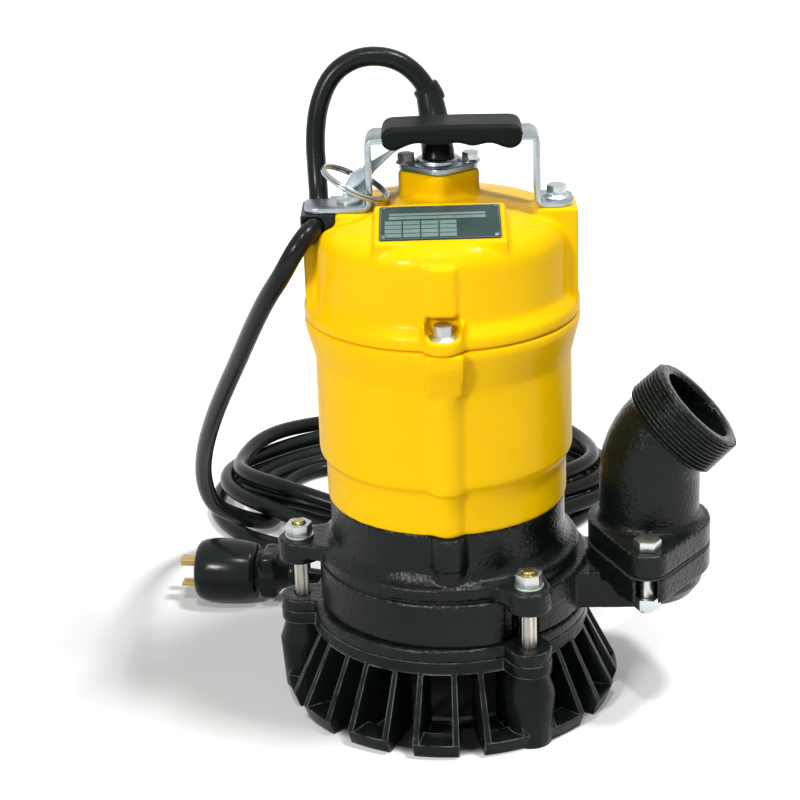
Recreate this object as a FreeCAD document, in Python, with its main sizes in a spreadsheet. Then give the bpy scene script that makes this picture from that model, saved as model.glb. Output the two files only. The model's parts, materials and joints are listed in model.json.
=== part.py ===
import FreeCAD, Part
import math
import os

import Sketcher
from FreeCAD import Placement, Rotation, Vector

# A portable drainage pump with a two inch threaded discharge. It stands on a finned strainer,
# and its motor, oil chamber and pump chamber are stacked on one upright shaft.
# The origin is the middle of the base on the floor, +Z is up and +X is the discharge side.

doc = FreeCAD.newDocument("SumpPump")
sheet = doc.addObject("Spreadsheet::Sheet", "Sizes")
aliases = []
parts = []


class Size:
    """A length, angle or count, kept both as a number and as the expression that gives it."""

    def __init__(self, number, text):
        self.number = number
        self.text = text

    def joined(self, sign, other, number):
        return Size(number, f"({self.text} {sign} {other.text})")

    def __add__(self, other):
        other = as_size(other)
        return self.joined("+", other, self.number + other.number)

    def __radd__(self, other):
        return as_size(other) + self

    def __sub__(self, other):
        other = as_size(other)
        return self.joined("-", other, self.number - other.number)

    def __rsub__(self, other):
        return as_size(other) - self

    def __mul__(self, other):
        other = as_size(other)
        return self.joined("*", other, self.number * other.number)

    def __rmul__(self, other):
        return as_size(other) * self

    def __truediv__(self, other):
        other = as_size(other)
        return self.joined("/", other, self.number / other.number)

    def __neg__(self):
        return as_size(-1) * self


def as_size(value):
    """A plain number becomes a Size of itself."""
    if isinstance(value, Size):
        return value
    return Size(float(value), f"({float(value):.6f})")


def dimension(alias, number):
    """Write one driving dimension into the sheet."""
    aliases.append(alias)
    row = len(aliases)
    sheet.set(f"A{row}", alias)
    sheet.set(f"B{row}", str(number))
    sheet.setAlias(f"B{row}", alias)
    return Size(float(number), f"Sizes.{alias}")


# Stand and strainer
base_radius = dimension("base_radius", 93.5)
foot_radius = dimension("foot_radius", 90.5)
sill_height = dimension("sill_height", 8.5)
sill_depth = dimension("sill_depth", 14)
block_count = dimension("block_count", 15)
block_angle = dimension("block_angle", 15.5)
window_angle = dimension("window_angle", 11.3)
stand_height = dimension("stand_height", 42)
stand_inner_radius = dimension("stand_inner_radius", 58)
boss_radius = dimension("boss_radius", 13.6)
rim_radius = dimension("rim_radius", 76.5)
rim_thickness = dimension("rim_thickness", 7)

# Studs that hold the stand, the casing and the oil chamber together
stud_circle = dimension("stud_circle", 83)
stud_radius = dimension("stud_radius", 4)
stud_top = dimension("stud_top", 103.5)
lug_radius = dimension("lug_radius", 12)
lug_underside = dimension("lug_underside", 78)
lug_top = dimension("lug_top", 91)
nut_across = dimension("nut_across", 13)
nut_height = dimension("nut_height", 6.5)
washer_thickness = dimension("washer_thickness", 1.6)

# Pump casing
casing_radius = dimension("casing_radius", 74.3)
casing_shift = dimension("casing_shift", 2.2)
chamber_radius = dimension("chamber_radius", 67.5)
chamber_top = dimension("chamber_top", 77)
casing_top = dimension("casing_top", 81.5)
casing_mouth = dimension("casing_mouth", 60)
scallop_radius = dimension("scallop_radius", 13.8)
inlet_radius = dimension("inlet_radius", 20)

# Discharge
discharge_turn = -6.7
outlet_reach = dimension("outlet_reach", 111)
outlet_bottom = dimension("outlet_bottom", 56)
outlet_seat = dimension("outlet_seat", 76)
flange_top = dimension("flange_top", 90)
gasket_thickness = dimension("gasket_thickness", 0.8)
elbow_flange_top = dimension("elbow_flange_top", 104)
flange_radius = dimension("flange_radius", 33.4)
flange_bolt_reach = dimension("flange_bolt_reach", 43)
flange_tip_radius = dimension("flange_tip_radius", 12)
tube_radius = dimension("tube_radius", 27.3)
bore_radius = dimension("bore_radius", 21.8)
bend_radius = dimension("bend_radius", 34)
bend_start = dimension("bend_start", 129.6)
nipple_radius = dimension("nipple_radius", 30.15)
nipple_length = dimension("nipple_length", 23)

# Oil casing
oil_floor = dimension("oil_floor", 82)
oil_flange_radius = dimension("oil_flange_radius", 72)
oil_radius = dimension("oil_radius", 64.6)
housing_bottom = dimension("housing_bottom", 118)
bracket_bottom = dimension("bracket_bottom", 114)
bracket_top = dimension("bracket_top", 122)

# Motor housing and head cover
lower_radius = dimension("lower_radius", 65.6)
upper_radius = dimension("upper_radius", 69)
step_level = dimension("step_level", 143)
flare_level = dimension("flare_level", 200)
ring_radius = dimension("ring_radius", 73.8)
head_split = dimension("head_split", 223.5)
boss_circle = dimension("boss_circle", 63.5)
wall_foot = dimension("wall_foot", 236)
shoulder_level = dimension("shoulder_level", 273.9)
crown_radius = dimension("crown_radius", 22)
crown_level = dimension("crown_level", 285)
shoulder_round = dimension("shoulder_round", 13)
cover_bolt_circle = dimension("cover_bolt_circle", 71.5)
cover_bolt_seat = dimension("cover_bolt_seat", 231)
ear_top = dimension("ear_top", 281.7)
clamp_bottom = dimension("clamp_bottom", 267)
plate_low = dimension("plate_low", 277)
plate_high = dimension("plate_high", 285.7)
pedestal_top = dimension("pedestal_top", 297.5)
gland_plate_top = dimension("gland_plate_top", 301.3)
gland_setback = dimension("gland_setback", 8)

# Carrying handle
handle_setback = dimension("handle_setback", -6)
strap_width = dimension("strap_width", 25)
strap_thickness = dimension("strap_thickness", 3)
strap_left = dimension("strap_left", -38)
strap_right = dimension("strap_right", 52.5)
strap_top = dimension("strap_top", 320.9)
foot_left = dimension("foot_left", -70.6)
foot_right = dimension("foot_right", 69.7)
grip_left = dimension("grip_left", -29.5)
grip_right = dimension("grip_right", 44)
grip_top = dimension("grip_top", 327)
grip_width = dimension("grip_width", 28)

# Motor and shaft
stator_radius = dimension("stator_radius", 58)
stator_bore = dimension("stator_bore", 32)
rotor_radius = dimension("rotor_radius", 31.5)
core_bottom = dimension("core_bottom", 150)
core_top = dimension("core_top", 200)
shaft_bottom = dimension("shaft_bottom", 28)
shaft_top = dimension("shaft_top", 237)
seal_journal = dimension("seal_journal", 8)
impeller_seat = dimension("impeller_seat", 7)
impeller_radius = dimension("impeller_radius", 52)
running_gap = dimension("running_gap", 0.04)

# Cord and plug
cord_diameter = dimension("cord_diameter", 10.4)
plug_radius = dimension("plug_radius", 16.5)
plug_x = dimension("plug_x", -98)
plug_y = dimension("plug_y", 104)

doc.recompute()


def bind(thing, path, value):
    """Drive a property of an object from the sheet."""
    thing.setExpression(path, as_size(value).text)


def new_body(label):
    """A finished sub-part made of sketches and features."""
    body = doc.addObject("PartDesign::Body", label)
    body.Label = label
    body.AllowCompound = True
    parts.append(body)
    return body


def new_shape(label, shape):
    """A finished sub-part whose form no sketched feature gives."""
    made = doc.addObject("Part::Feature", label)
    made.Label = label
    made.Shape = shape
    parts.append(made)
    return made


def origin_feature(body, role):
    return next(entry for entry in body.Origin.OriginFeatures if entry.Role == role)


def sketch_in(body, role, offset=0):
    """A sketch on one of the body's own origin planes, or parallel to it."""
    sketch = body.newObject("Sketcher::SketchObject", "Sketch")
    sketch.AttachmentSupport = [(origin_feature(body, role), "")]
    sketch.MapMode = "FlatFace"
    bind(sketch, "AttachmentOffset.Base.z", offset)
    return sketch


def hold(sketch, edge, end, point):
    """Keep one point of a sketch at distances read from the sheet."""
    for kind, value, axis in (("DistanceX", point[0], -2), ("DistanceY", point[1], -1)):
        size = as_size(value)
        if size.number == 0:
            sketch.addConstraint(Sketcher.Constraint("PointOnObject", edge, end, axis))
            continue
        row = sketch.addConstraint(Sketcher.Constraint(kind, -1, 1, edge, end, size.number))
        bind(sketch, f"Constraints[{row}]", size)


def flat_point(point):
    return Vector(as_size(point[0]).number, as_size(point[1]).number, 0)


def rounding_points(before, corner, after, radius):
    """Where a rounding leaves and rejoins the two straight lines of a corner."""
    into = (before - corner).normalize()
    out = (after - corner).normalize()
    reach = radius / math.tan(into.getAngle(out) / 2)
    centre = corner + (into + out).normalize() * math.hypot(reach, radius)
    return corner + into * reach, corner + out * reach, centre


def polygon(sketch, corners):
    """A closed outline of straight lines. A corner may give a rounding radius as its third value."""
    places = [flat_point(corner) for corner in corners]
    count = len(corners)
    starts = list(places)
    ends = list(places)
    arcs = {}
    for index, corner in enumerate(corners):
        if len(corner) == 3:
            before = places[index - 1]
            after = places[(index + 1) % count]
            ends[index], starts[index], centre = rounding_points(
                before, places[index], after, as_size(corner[2]).number)
            bow = centre + (places[index] - centre).normalize() * (ends[index] - centre).Length
            arcs[index] = Part.Arc(ends[index], bow, starts[index])
    first = sketch.GeometryCount
    for index in range(count):
        sketch.addGeometry(Part.LineSegment(starts[index], ends[(index + 1) % count]))
    for index in range(count):
        line = first + index
        before = first + (index - 1) % count
        if index not in arcs:
            sketch.addConstraint(Sketcher.Constraint("Coincident", before, 2, line, 1))
            hold(sketch, line, 1, corners[index])
            continue
        arc = sketch.addGeometry(arcs[index])
        turned = (sketch.getPoint(arc, 1) - ends[index]).Length > 0.001
        point = sketch.addGeometry(Part.Point(places[index]), True)
        hold(sketch, point, 1, corners[index])
        sketch.addConstraint(Sketcher.Constraint("PointOnObject", point, 1, before))
        sketch.addConstraint(Sketcher.Constraint("PointOnObject", point, 1, line))
        sketch.addConstraint(Sketcher.Constraint("Tangent", before, 2, arc, 2 if turned else 1))
        sketch.addConstraint(Sketcher.Constraint("Tangent", line, 1, arc, 1 if turned else 2))
        radius = as_size(corners[index][2])
        row = sketch.addConstraint(Sketcher.Constraint("Radius", arc, radius.number))
        bind(sketch, f"Constraints[{row}]", radius)


def circle(sketch, centre, radius):
    size = as_size(radius)
    edge = sketch.addGeometry(Part.Circle(flat_point(centre), Vector(0, 0, 1), size.number))
    hold(sketch, edge, 3, centre)
    row = sketch.addConstraint(Sketcher.Constraint("Radius", edge, size.number))
    bind(sketch, f"Constraints[{row}]", size)


def hexagon(sketch, centre, across, turn=0):
    """A hexagon given by its width across flats."""
    reach = across / math.sqrt(3)
    angles = [math.radians(turn + 60 * step) for step in range(6)]
    polygon(sketch, [(centre[0] + reach * math.cos(angle), centre[1] + reach * math.sin(angle))
                     for angle in angles])


def bar_outline(sketch, start, end, across):
    """A straight bar from start to end in the sketch, of constant width."""
    lengthwise = Vector(end[0].number - start[0].number, end[1].number - start[1].number, 0)
    lengthwise.normalize()
    side = (-lengthwise.y / 2 * across, lengthwise.x / 2 * across)
    polygon(sketch, [(start[0] - side[0], start[1] - side[1]), (end[0] - side[0], end[1] - side[1]),
                     (end[0] + side[0], end[1] + side[1]), (start[0] + side[0], start[1] + side[1])])


def feature(body, kind, sketch, length=None, **settings):
    made = body.newObject("PartDesign::" + kind, kind)
    made.Profile = sketch
    if length is not None:
        bind(made, "Length", length)
    for name, value in settings.items():
        setattr(made, name, value)
    body.Tip = made
    return made


def turn(body, corners, cut=False, angle=None, axis=None, plane="XZ_Plane"):
    """Turn an outline of (radius, height) corners about the pump axis, or another axis line.

    With an angle only a sector is turned, half of it each side of the sketch's plane.
    """
    sketch = sketch_in(body, plane)
    if axis is not None:
        line = sketch.addGeometry(Part.LineSegment(flat_point(axis[0]), flat_point(axis[1])), True)
        hold(sketch, line, 1, axis[0])
        hold(sketch, line, 2, axis[1])
    polygon(sketch, corners)
    made = feature(body, "Groove" if cut else "Revolution", sketch)
    made.ReferenceAxis = (sketch, ["V_Axis" if axis is None else "Axis0"])
    made.Angle = 360
    if angle is not None:
        bind(made, "Angle", angle)
        made.Midplane = True
    return made


def pad(body, bottom, height, draw, *details, **settings):
    """Raise what draw puts into a level sketch, from the level bottom."""
    sketch = sketch_in(body, "XY_Plane", bottom)
    draw(sketch, *details)
    return feature(body, "Pad", sketch, height, **settings)


def pocket(body, top, depth, draw, *details, **settings):
    """Cut what draw puts into a level sketch, from the level top downwards."""
    sketch = sketch_in(body, "XY_Plane", top)
    draw(sketch, *details)
    return feature(body, "Pocket", sketch, depth, **settings)


def around(body, originals, count):
    """Repeat features evenly about the pump axis."""
    pattern = body.newObject("PartDesign::PolarPattern", "PolarPattern")
    pattern.Originals = originals
    pattern.Axis = (origin_feature(body, "Z_Axis"), [""])
    pattern.Angle = 360
    bind(pattern, "Occurrences", count)
    body.Tip = pattern
    return pattern


def round_off(body, radius, wanted, kind="Fillet"):
    """Round, or chamfer, the edges of the body that the wanted test picks out."""
    doc.recompute()
    last = body.Tip
    names = [f"Edge{number}" for number, edge in enumerate(last.Shape.Edges, 1) if wanted(edge)]
    if not names:
        raise RuntimeError(f"{body.Label}: no edge to round")
    made = body.newObject("PartDesign::" + kind, kind)
    made.Base = (last, names)
    bind(made, "Size" if kind == "Chamfer" else "Radius", radius)
    body.Tip = made
    return made


def rim(radius, level, near=0.05):
    """Picks circular edges of this radius at this level."""
    radius = as_size(radius).number
    level = as_size(level).number

    def wanted(edge):
        curve = edge.Curve
        return (isinstance(curve, Part.Circle) and abs(curve.Radius - radius) < near
                and abs(edge.CenterOfMass.z - level) < near)
    return wanted


def upright(bottom, top, test=None):
    """Picks straight upright edges between two levels, where test allows their foot point."""
    bottom = as_size(bottom).number
    top = as_size(top).number

    def wanted(edge):
        box = edge.BoundBox
        if not isinstance(edge.Curve, Part.Line) or box.XLength + box.YLength > 0.01:
            return False
        inside = box.ZMin > bottom - 0.05 and box.ZMax < top + 0.05
        return inside and (test is None or test(edge.CenterOfMass))
    return wanted


def lengthways(direction, test=None):
    """Picks straight edges along a direction, where test allows their middle."""
    def wanted(edge):
        if not isinstance(edge.Curve, Part.Line):
            return False
        along = abs(edge.Curve.Direction.dot(direction)) > 0.999
        return along and (test is None or test(edge.CenterOfMass))
    return wanted


def discharge_placement():
    return Placement(Vector(0, 0, 0), Rotation(Vector(0, 0, 1), discharge_turn))


def polar(radius, degrees):
    """A point of a level sketch, from its distance and direction."""
    return (radius * math.cos(math.radians(degrees)), radius * math.sin(math.radians(degrees)))


stud_place = (-stud_circle, as_size(0))
rim_bottom = stand_height + rim_thickness
casing_bottom = rim_bottom + rim_thickness


def stud_lugs(body, bottom, height, inner):
    """Three rounded ears that reach out to the studs."""
    ear = pad(body, bottom, height, circle, stud_place, lug_radius)
    neck = pad(body, bottom, height, bar_outline, stud_place, (-inner, as_size(0)), lug_radius * 2)
    around(body, [ear, neck], 3)


def stud_holes(body, top, depth, radius):
    hole = pocket(body, top, depth, circle, stud_place, radius)
    around(body, [hole], 3)


def strainer():
    """Finned stand: pairs of splayed fins joined by a sill at the foot, under one ring."""
    body = new_body("strainer")
    inner = stand_inner_radius
    turn(body, [(inner, stand_height), (rim_radius, stand_height),
                (rim_radius, rim_bottom), (inner, rim_bottom)])
    block = turn(body, [(inner, 0), (foot_radius, 0), (base_radius, sill_height),
                        (rim_radius, stand_height + 1), (inner, stand_height + 1)],
                 angle=block_angle)
    around(body, [block], block_count)
    sill_inner = base_radius - sill_depth
    window = turn(body, [(inner - 4, 3), (sill_inner, 3), (sill_inner, sill_height),
                         (base_radius + 9, sill_height), (base_radius + 9, stand_height),
                         (inner - 4, stand_height)],
                  cut=True, angle=window_angle)
    around(body, [window], block_count)
    turn(body, [(inner - 4, 0), (inner + 2, 0), (inner + 2, 4), (inner - 4, 4)])
    joined_sill = turn(body, [(-sill_inner, 0), (-foot_radius, 0), (-base_radius, sill_height),
                              (-sill_inner, sill_height)], angle=block_angle + 24)
    boss = turn(body, [(-stud_circle, 0), (-stud_circle - boss_radius + 2, 0),
                       (-stud_circle - boss_radius, stand_height - 13),
                       (-stud_circle - 9.5, stand_height), (-stud_circle, stand_height)],
                axis=((-stud_circle, as_size(0)), (-stud_circle, as_size(10))))
    around(body, [joined_sill, boss], 3)
    stud_lugs(body, stand_height, rim_thickness, stand_inner_radius + 4)
    stud_holes(body, rim_bottom, 26, stud_radius)
    return body


def suction_cover():
    """Bottom plate of the pump chamber, with the inlet in a raised cone."""
    body = new_body("suction_cover")
    turn(body, [(inlet_radius, rim_bottom), (rim_radius, rim_bottom), (rim_radius, casing_bottom),
                (inlet_radius + 16, casing_bottom), (inlet_radius + 5, casing_bottom + 4),
                (inlet_radius, casing_bottom + 4)])
    stud_lugs(body, rim_bottom, rim_thickness, stand_inner_radius + 4)
    stud_holes(body, casing_bottom, rim_thickness, stud_radius + 0.4)
    round_off(body, 1.6, rim(rim_radius, casing_bottom))
    return body


def oval_flange(body, bottom, height):
    """Two-bolt flange: a round middle drawn out to a tip at each bolt."""
    lean = math.asin((flange_radius.number - flange_tip_radius.number) / flange_bolt_reach.number)
    across = math.cos(lean)
    along = math.sin(lean)
    corners = []
    for side_x, side_y in ((1, 1), (-1, 1), (-1, -1), (1, -1)):
        wide = (outlet_reach + flange_radius * (side_x * across), flange_radius * (side_y * along))
        tip = (outlet_reach + flange_tip_radius * (side_x * across),
               (flange_bolt_reach + flange_tip_radius * along) * side_y)
        corners += [wide, tip] if side_x * side_y > 0 else [tip, wide]
    pad(body, bottom, height, polygon, corners)
    pad(body, bottom, height, circle, (outlet_reach, as_size(0)), flange_radius)
    for side in (1, -1):
        pad(body, bottom, height, circle, (outlet_reach, flange_bolt_reach * side), flange_tip_radius)


def pump_casing():
    """Drum of the pump chamber, off centre towards its outlet, and the cup under the elbow."""
    body = new_body("pump_casing")
    height = casing_top - casing_bottom
    drum = (casing_shift, as_size(0))
    outlet = (outlet_reach, as_size(0))
    pad(body, casing_bottom, height, circle, drum, casing_radius)
    round_off(body, 2, rim(casing_radius, casing_bottom))
    pad(body, casing_bottom + 2, casing_top - casing_bottom - 4, polygon,
        [(as_size(50), -27), (outlet_reach - 6, -22), (outlet_reach - 6, 22), (as_size(50), 27)])
    turn(body, [(outlet_reach, outlet_bottom), (outlet_reach + 14, outlet_bottom),
                (outlet_reach + 24, outlet_bottom + 5), (outlet_reach + 29, outlet_bottom + 12),
                (outlet_reach + 31, outlet_seat), (outlet_reach, outlet_seat)],
         axis=(outlet, (outlet_reach, as_size(10))))
    oval_flange(body, outlet_seat, flange_top - outlet_seat)
    pocket(body, chamber_top, chamber_top - casing_bottom, circle, drum, chamber_radius)
    pocket(body, casing_top, casing_top - chamber_top, circle, (as_size(0), as_size(0)), casing_mouth)
    pocket(body, outlet_seat - 1, outlet_seat - outlet_bottom - 7, polygon,
           [(as_size(50), -19), (outlet_reach, -17), (outlet_reach, 17), (as_size(50), 19)])
    pocket(body, flange_top, flange_top - outlet_bottom - 6, circle, outlet, bore_radius)
    for side in (1, -1):
        start = (outlet_reach, flange_bolt_reach * side)
        end = (outlet_reach, (flange_bolt_reach + flange_tip_radius + 3) * side)
        pocket(body, flange_top, flange_top - outlet_seat, circle, start, stud_radius + 0.6)
        pocket(body, flange_top, flange_top - outlet_seat, bar_outline, start, end,
               stud_radius * 2 + 3.5)
    scallop = pocket(body, casing_top, height, circle, polar(stud_circle, 180 - discharge_turn),
                     scallop_radius)
    around(body, [scallop], 3)
    body.Placement = discharge_placement()
    return body


def discharge_elbow():
    """Half bend from the casing flange to the two inch threaded nipple."""
    body = new_body("discharge_elbow")
    bottom = flange_top + gasket_thickness
    foot = (outlet_reach, as_size(0))
    hinge = outlet_reach + bend_radius
    half = math.sqrt(0.5)
    end = (hinge - bend_radius * half, bend_start + bend_radius * half)

    def on_nipple(along, off):
        """A point of the upright middle plane, along the nipple and off its axis."""
        return (end[0] + as_size(along) * half - as_size(off) * half,
                end[1] + as_size(along) * half + as_size(off) * half)

    def bend(kind, radius):
        sketch = sketch_in(body, "XY_Plane", bend_start)
        line = sketch.addGeometry(Part.LineSegment(flat_point((hinge, as_size(0))),
                                                   flat_point((hinge, as_size(10)))), True)
        hold(sketch, line, 1, (hinge, as_size(0)))
        hold(sketch, line, 2, (hinge, as_size(10)))
        circle(sketch, foot, radius)
        made = feature(body, kind, sketch)
        made.ReferenceAxis = (sketch, ["Axis0"])
        made.Angle = 45
        return made

    nipple_axis = (on_nipple(0, 0), on_nipple(10, 0))
    oval_flange(body, bottom, elbow_flange_top - bottom)
    pad(body, bottom, bend_start - bottom, circle, foot, tube_radius)
    bend("Revolution", tube_radius)
    turn(body, [on_nipple(0, 0), on_nipple(0, tube_radius), on_nipple(2, nipple_radius),
                on_nipple(nipple_length - 2, nipple_radius),
                on_nipple(nipple_length, nipple_radius - 2), on_nipple(nipple_length, 0)],
         axis=nipple_axis)
    pocket(body, bend_start, bend_start - bottom, circle, foot, bore_radius)
    bend("Groove", bore_radius)
    turn(body, [on_nipple(-0.01, 0), on_nipple(-0.01, bore_radius),
                on_nipple(nipple_length - 1, bore_radius), on_nipple(nipple_length + 1, bore_radius + 2),
                on_nipple(nipple_length + 1, 0)], cut=True, axis=nipple_axis)
    for side in (1, -1):
        pocket(body, elbow_flange_top, elbow_flange_top - bottom, circle,
               (outlet_reach, flange_bolt_reach * side), stud_radius + 0.5)
    round_off(body, 4, rim(tube_radius, elbow_flange_top))
    body.Placement = discharge_placement()
    return body


def elbow_gasket():
    body = new_body("elbow_gasket")
    oval_flange(body, flange_top, gasket_thickness)
    pocket(body, flange_top + gasket_thickness, gasket_thickness, circle,
           (outlet_reach, as_size(0)), bore_radius)
    for side in (1, -1):
        pocket(body, flange_top + gasket_thickness, gasket_thickness, circle,
               (outlet_reach, flange_bolt_reach * side), stud_radius + 0.5)
    body.Placement = discharge_placement()
    return body


def elbow_bolts():
    """Two hexagon bolts down through the flanges, and below them their nuts."""
    bolts = new_body("elbow_bolts")
    nuts = new_body("elbow_nuts")
    for side in (1, -1):
        place = (outlet_reach, flange_bolt_reach * side)
        pad(bolts, elbow_flange_top, 5.5, hexagon, place, nut_across)
        pad(bolts, outlet_seat - 9, elbow_flange_top - outlet_seat + 9, circle, place, stud_radius)
        pad(nuts, outlet_seat - nut_height, nut_height, hexagon, place, nut_across)
        pocket(nuts, outlet_seat, nut_height, circle, place, stud_radius)
    for body in (bolts, nuts):
        body.Placement = discharge_placement()


def oil_casing():
    """Cast oil chamber between pump and motor, with the three lugs for the studs."""
    body = new_body("oil_casing")
    turn(body, [(17, oil_floor), (oil_flange_radius, oil_floor),
                (oil_flange_radius, oil_floor + 7), (oil_radius + 3, oil_floor + 9),
                (oil_radius, oil_floor + 14), (oil_radius, housing_bottom),
                (63.5, housing_bottom), (63.5, housing_bottom - 2), (61.5, housing_bottom - 2),
                (61.5, housing_bottom), (60, housing_bottom), (60, bracket_bottom),
                (55, bracket_bottom), (55, oil_floor + 8), (17, oil_floor + 8)])
    place = (as_size(0), -boss_circle + 4)
    boss = pad(body, oil_floor + 5, housing_bottom - oil_floor - 5, circle, place, 10)
    around(body, [boss], 3)
    ear = pad(body, lug_underside, lug_top - lug_underside, circle, stud_place, lug_radius)
    neck = pad(body, oil_floor, lug_top - oil_floor, polygon,
               [(-stud_circle, lug_radius), (-oil_radius + 3, lug_radius + 8),
                (-oil_radius + 3, -lug_radius - 8), (-stud_circle, -lug_radius)])
    around(body, [ear, neck], 3)
    stud_holes(body, lug_top, lug_top - lug_underside, stud_radius + 0.4)
    pocket(body, housing_bottom, housing_bottom - bracket_bottom, circle,
           (as_size(0), as_size(0)), 60)
    turn(body, [(61.5, housing_bottom), (63.5, housing_bottom), (63.5, housing_bottom - 2),
                (61.5, housing_bottom - 2)], cut=True)
    plug_sketch = sketch_in(body, "XZ_Plane", -oil_radius - 2)
    circle(plug_sketch, (as_size(-22), oil_floor + 24), 9)
    feature(body, "Pad", plug_sketch, 12)
    plug_hole = sketch_in(body, "XZ_Plane", -oil_radius - 3)
    circle(plug_hole, (as_size(-22), oil_floor + 24), 5)
    feature(body, "Pocket", plug_hole, 26, Reversed=True)
    return body


def oil_plug():
    """Hexagon plug of the oil filling hole, on its sealing washer."""
    plug = new_body("oil_plug")
    washer = new_body("oil_plug_washer")
    place = (as_size(-22), oil_floor + 24)
    face = -oil_radius - 2

    def inward(body, kind, offset, draw, radius, length):
        sketch = sketch_in(body, "XZ_Plane", offset)
        draw(sketch, place, as_size(radius))
        return feature(body, kind, sketch, length)

    inward(washer, "Pad", face - 1.5, circle, 8, 1.5)
    inward(washer, "Pocket", face, circle, 5, 1.5)
    inward(plug, "Pad", face - 7.5, hexagon, 14, 6)
    inward(plug, "Pad", face - 1.5, circle, 5, 9)


def motor_housing():
    """Finless cast housing, wider above its step, flared out to the joint with the head."""
    body = new_body("motor_housing")
    turn(body, [(lower_radius, housing_bottom), (lower_radius, step_level - 1),
                (upper_radius, step_level + 3), (upper_radius, flare_level),
                (ring_radius, head_split - 5), (ring_radius, head_split),
                (70, head_split), (70, head_split - 2), (68, head_split - 2), (68, head_split),
                (66, head_split), (66, head_split - 4), (stator_radius, head_split - 4),
                (stator_radius, bracket_top), (60, bracket_top), (60, housing_bottom)])
    low = pad(body, housing_bottom, step_level - housing_bottom + 3, circle,
              (as_size(0), -boss_circle + 4), 10)
    high = pad(body, step_level, head_split - step_level, circle,
               (as_size(0), -boss_circle), 10.2)
    around(body, [low, high], 3)
    crown = turn(body, [(-boss_circle, head_split - 24), (-boss_circle - 10.2, head_split - 24),
                        (-boss_circle - 17, head_split - 7), (-boss_circle - 17, head_split),
                        (-boss_circle, head_split)], angle=15, plane="YZ_Plane")
    around(body, [crown], 3)
    pocket(body, head_split - 4, head_split - bracket_top - 4, circle,
           (as_size(0), as_size(0)), stator_radius)
    pocket(body, bracket_top, bracket_top - housing_bottom, circle, (as_size(0), as_size(0)), 60)
    pocket(body, head_split, 4, circle, (as_size(0), as_size(0)), 66)
    turn(body, [(68, head_split), (70, head_split), (70, head_split - 2), (68, head_split - 2)],
         cut=True)
    round_off(body, 3, rim(ring_radius, head_split - 5))
    return body


def head_cover():
    """Domed head with ears for the handle, the cable pedestal and the cover bolt bosses."""
    body = new_body("head_cover")
    inner = upper_radius - 4.5
    turn(body, [(0, head_split), (ring_radius, head_split), (ring_radius, head_split + 6, 2),
                (upper_radius, wall_foot, 5), (upper_radius, shoulder_level, shoulder_round),
                (crown_radius, crown_level, 20), (0, crown_level)], plane="YZ_Plane")

    boss = pad(body, head_split, wall_foot + 2 - head_split, circle,
               (as_size(0), -cover_bolt_circle + 1), 11)
    column = pad(body, wall_foot - 4, shoulder_level - wall_foot - 3, polygon,
                 [(-7.6, -upper_radius + 6), (-7.6, -upper_radius - 1.2), (-5.6, -upper_radius - 2.6),
                  (5.6, -upper_radius - 2.6), (7.6, -upper_radius - 1.2), (7.6, -upper_radius + 6)])
    around(body, [boss, column], 3)
    front = handle_setback - 14.5
    rear = handle_setback + 14.5
    for near, far in ((-60, -71.8), (60, 71.8)):
        pad(body, head_split + 8, ear_top - head_split - 20, polygon,
            [(near, front), (far, front), (far, rear), (near, rear)])
    plate_seat = sketch_in(body, "YZ_Plane")
    polygon(plate_seat, [(-59, shoulder_level - 6), (-59, plate_low), (-19, plate_high),
                         (-19, shoulder_level - 6)])
    feature(body, "Pad", plate_seat, 68, Midplane=True)
    turn(body, [(0, head_split - 1), (inner, head_split - 1), (inner, shoulder_level - 9),
                (inner - 9, shoulder_level - 4), (crown_radius, crown_level - 6),
                (0, crown_level - 6)], cut=True, plane="YZ_Plane")
    for near, far in ((-36.5, -71.8), (50.4, 71.8)):
        pad(body, shoulder_level - 13, ear_top - shoulder_level + 13, polygon,
            [(near, front), (far, front), (far, rear), (near, rear)])
    pad(body, crown_level - 12, pedestal_top - crown_level + 12, polygon,
        [(26, gland_setback, 7), (as_size(0), gland_setback + 20, 7), (-26, gland_setback, 7),
         (as_size(0), gland_setback - 20, 7)])
    pocket(body, pedestal_top, pedestal_top - crown_level + 14, circle,
           (as_size(0), gland_setback), 8)
    pocket(body, ear_top, ear_top - clamp_bottom, polygon,
           [(-80, front), (-54.5, front), (-54.5, rear), (-80, rear)])

    scoop = pocket(body, wall_foot + 5, wall_foot + 5 - cover_bolt_seat, circle,
                   (as_size(0), -cover_bolt_circle), 9.2)
    mouth = pocket(body, wall_foot + 5, wall_foot + 5 - cover_bolt_seat, bar_outline,
                   (as_size(0), -cover_bolt_circle), (as_size(0), -cover_bolt_circle - 14),
                   as_size(18.4))
    hole = pocket(body, cover_bolt_seat, cover_bolt_seat - head_split, circle,
                  (as_size(0), -cover_bolt_circle), stud_radius)
    around(body, [scoop, mouth, hole], 3)
    return body


def stator():
    core = new_body("stator_core")
    turn(core, [(stator_bore, core_bottom), (stator_radius, core_bottom),
                (stator_radius, core_top), (stator_bore, core_top)])
    slot = pocket(core, core_top, core_top - core_bottom, bar_outline,
                  (stator_bore - 1, as_size(0)), (stator_bore + 3, as_size(0)), as_size(2.4))
    around(core, [slot], 24)
    windings = new_body("stator_windings")
    for bottom, top in ((core_bottom - 12, core_bottom), (core_top, core_top + 12)):
        turn(windings, [(stator_bore + 3, bottom), (stator_radius - 6, bottom),
                        (stator_radius - 4, (bottom + top) / 2), (stator_radius - 6, top),
                        (stator_bore + 3, top)])


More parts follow.
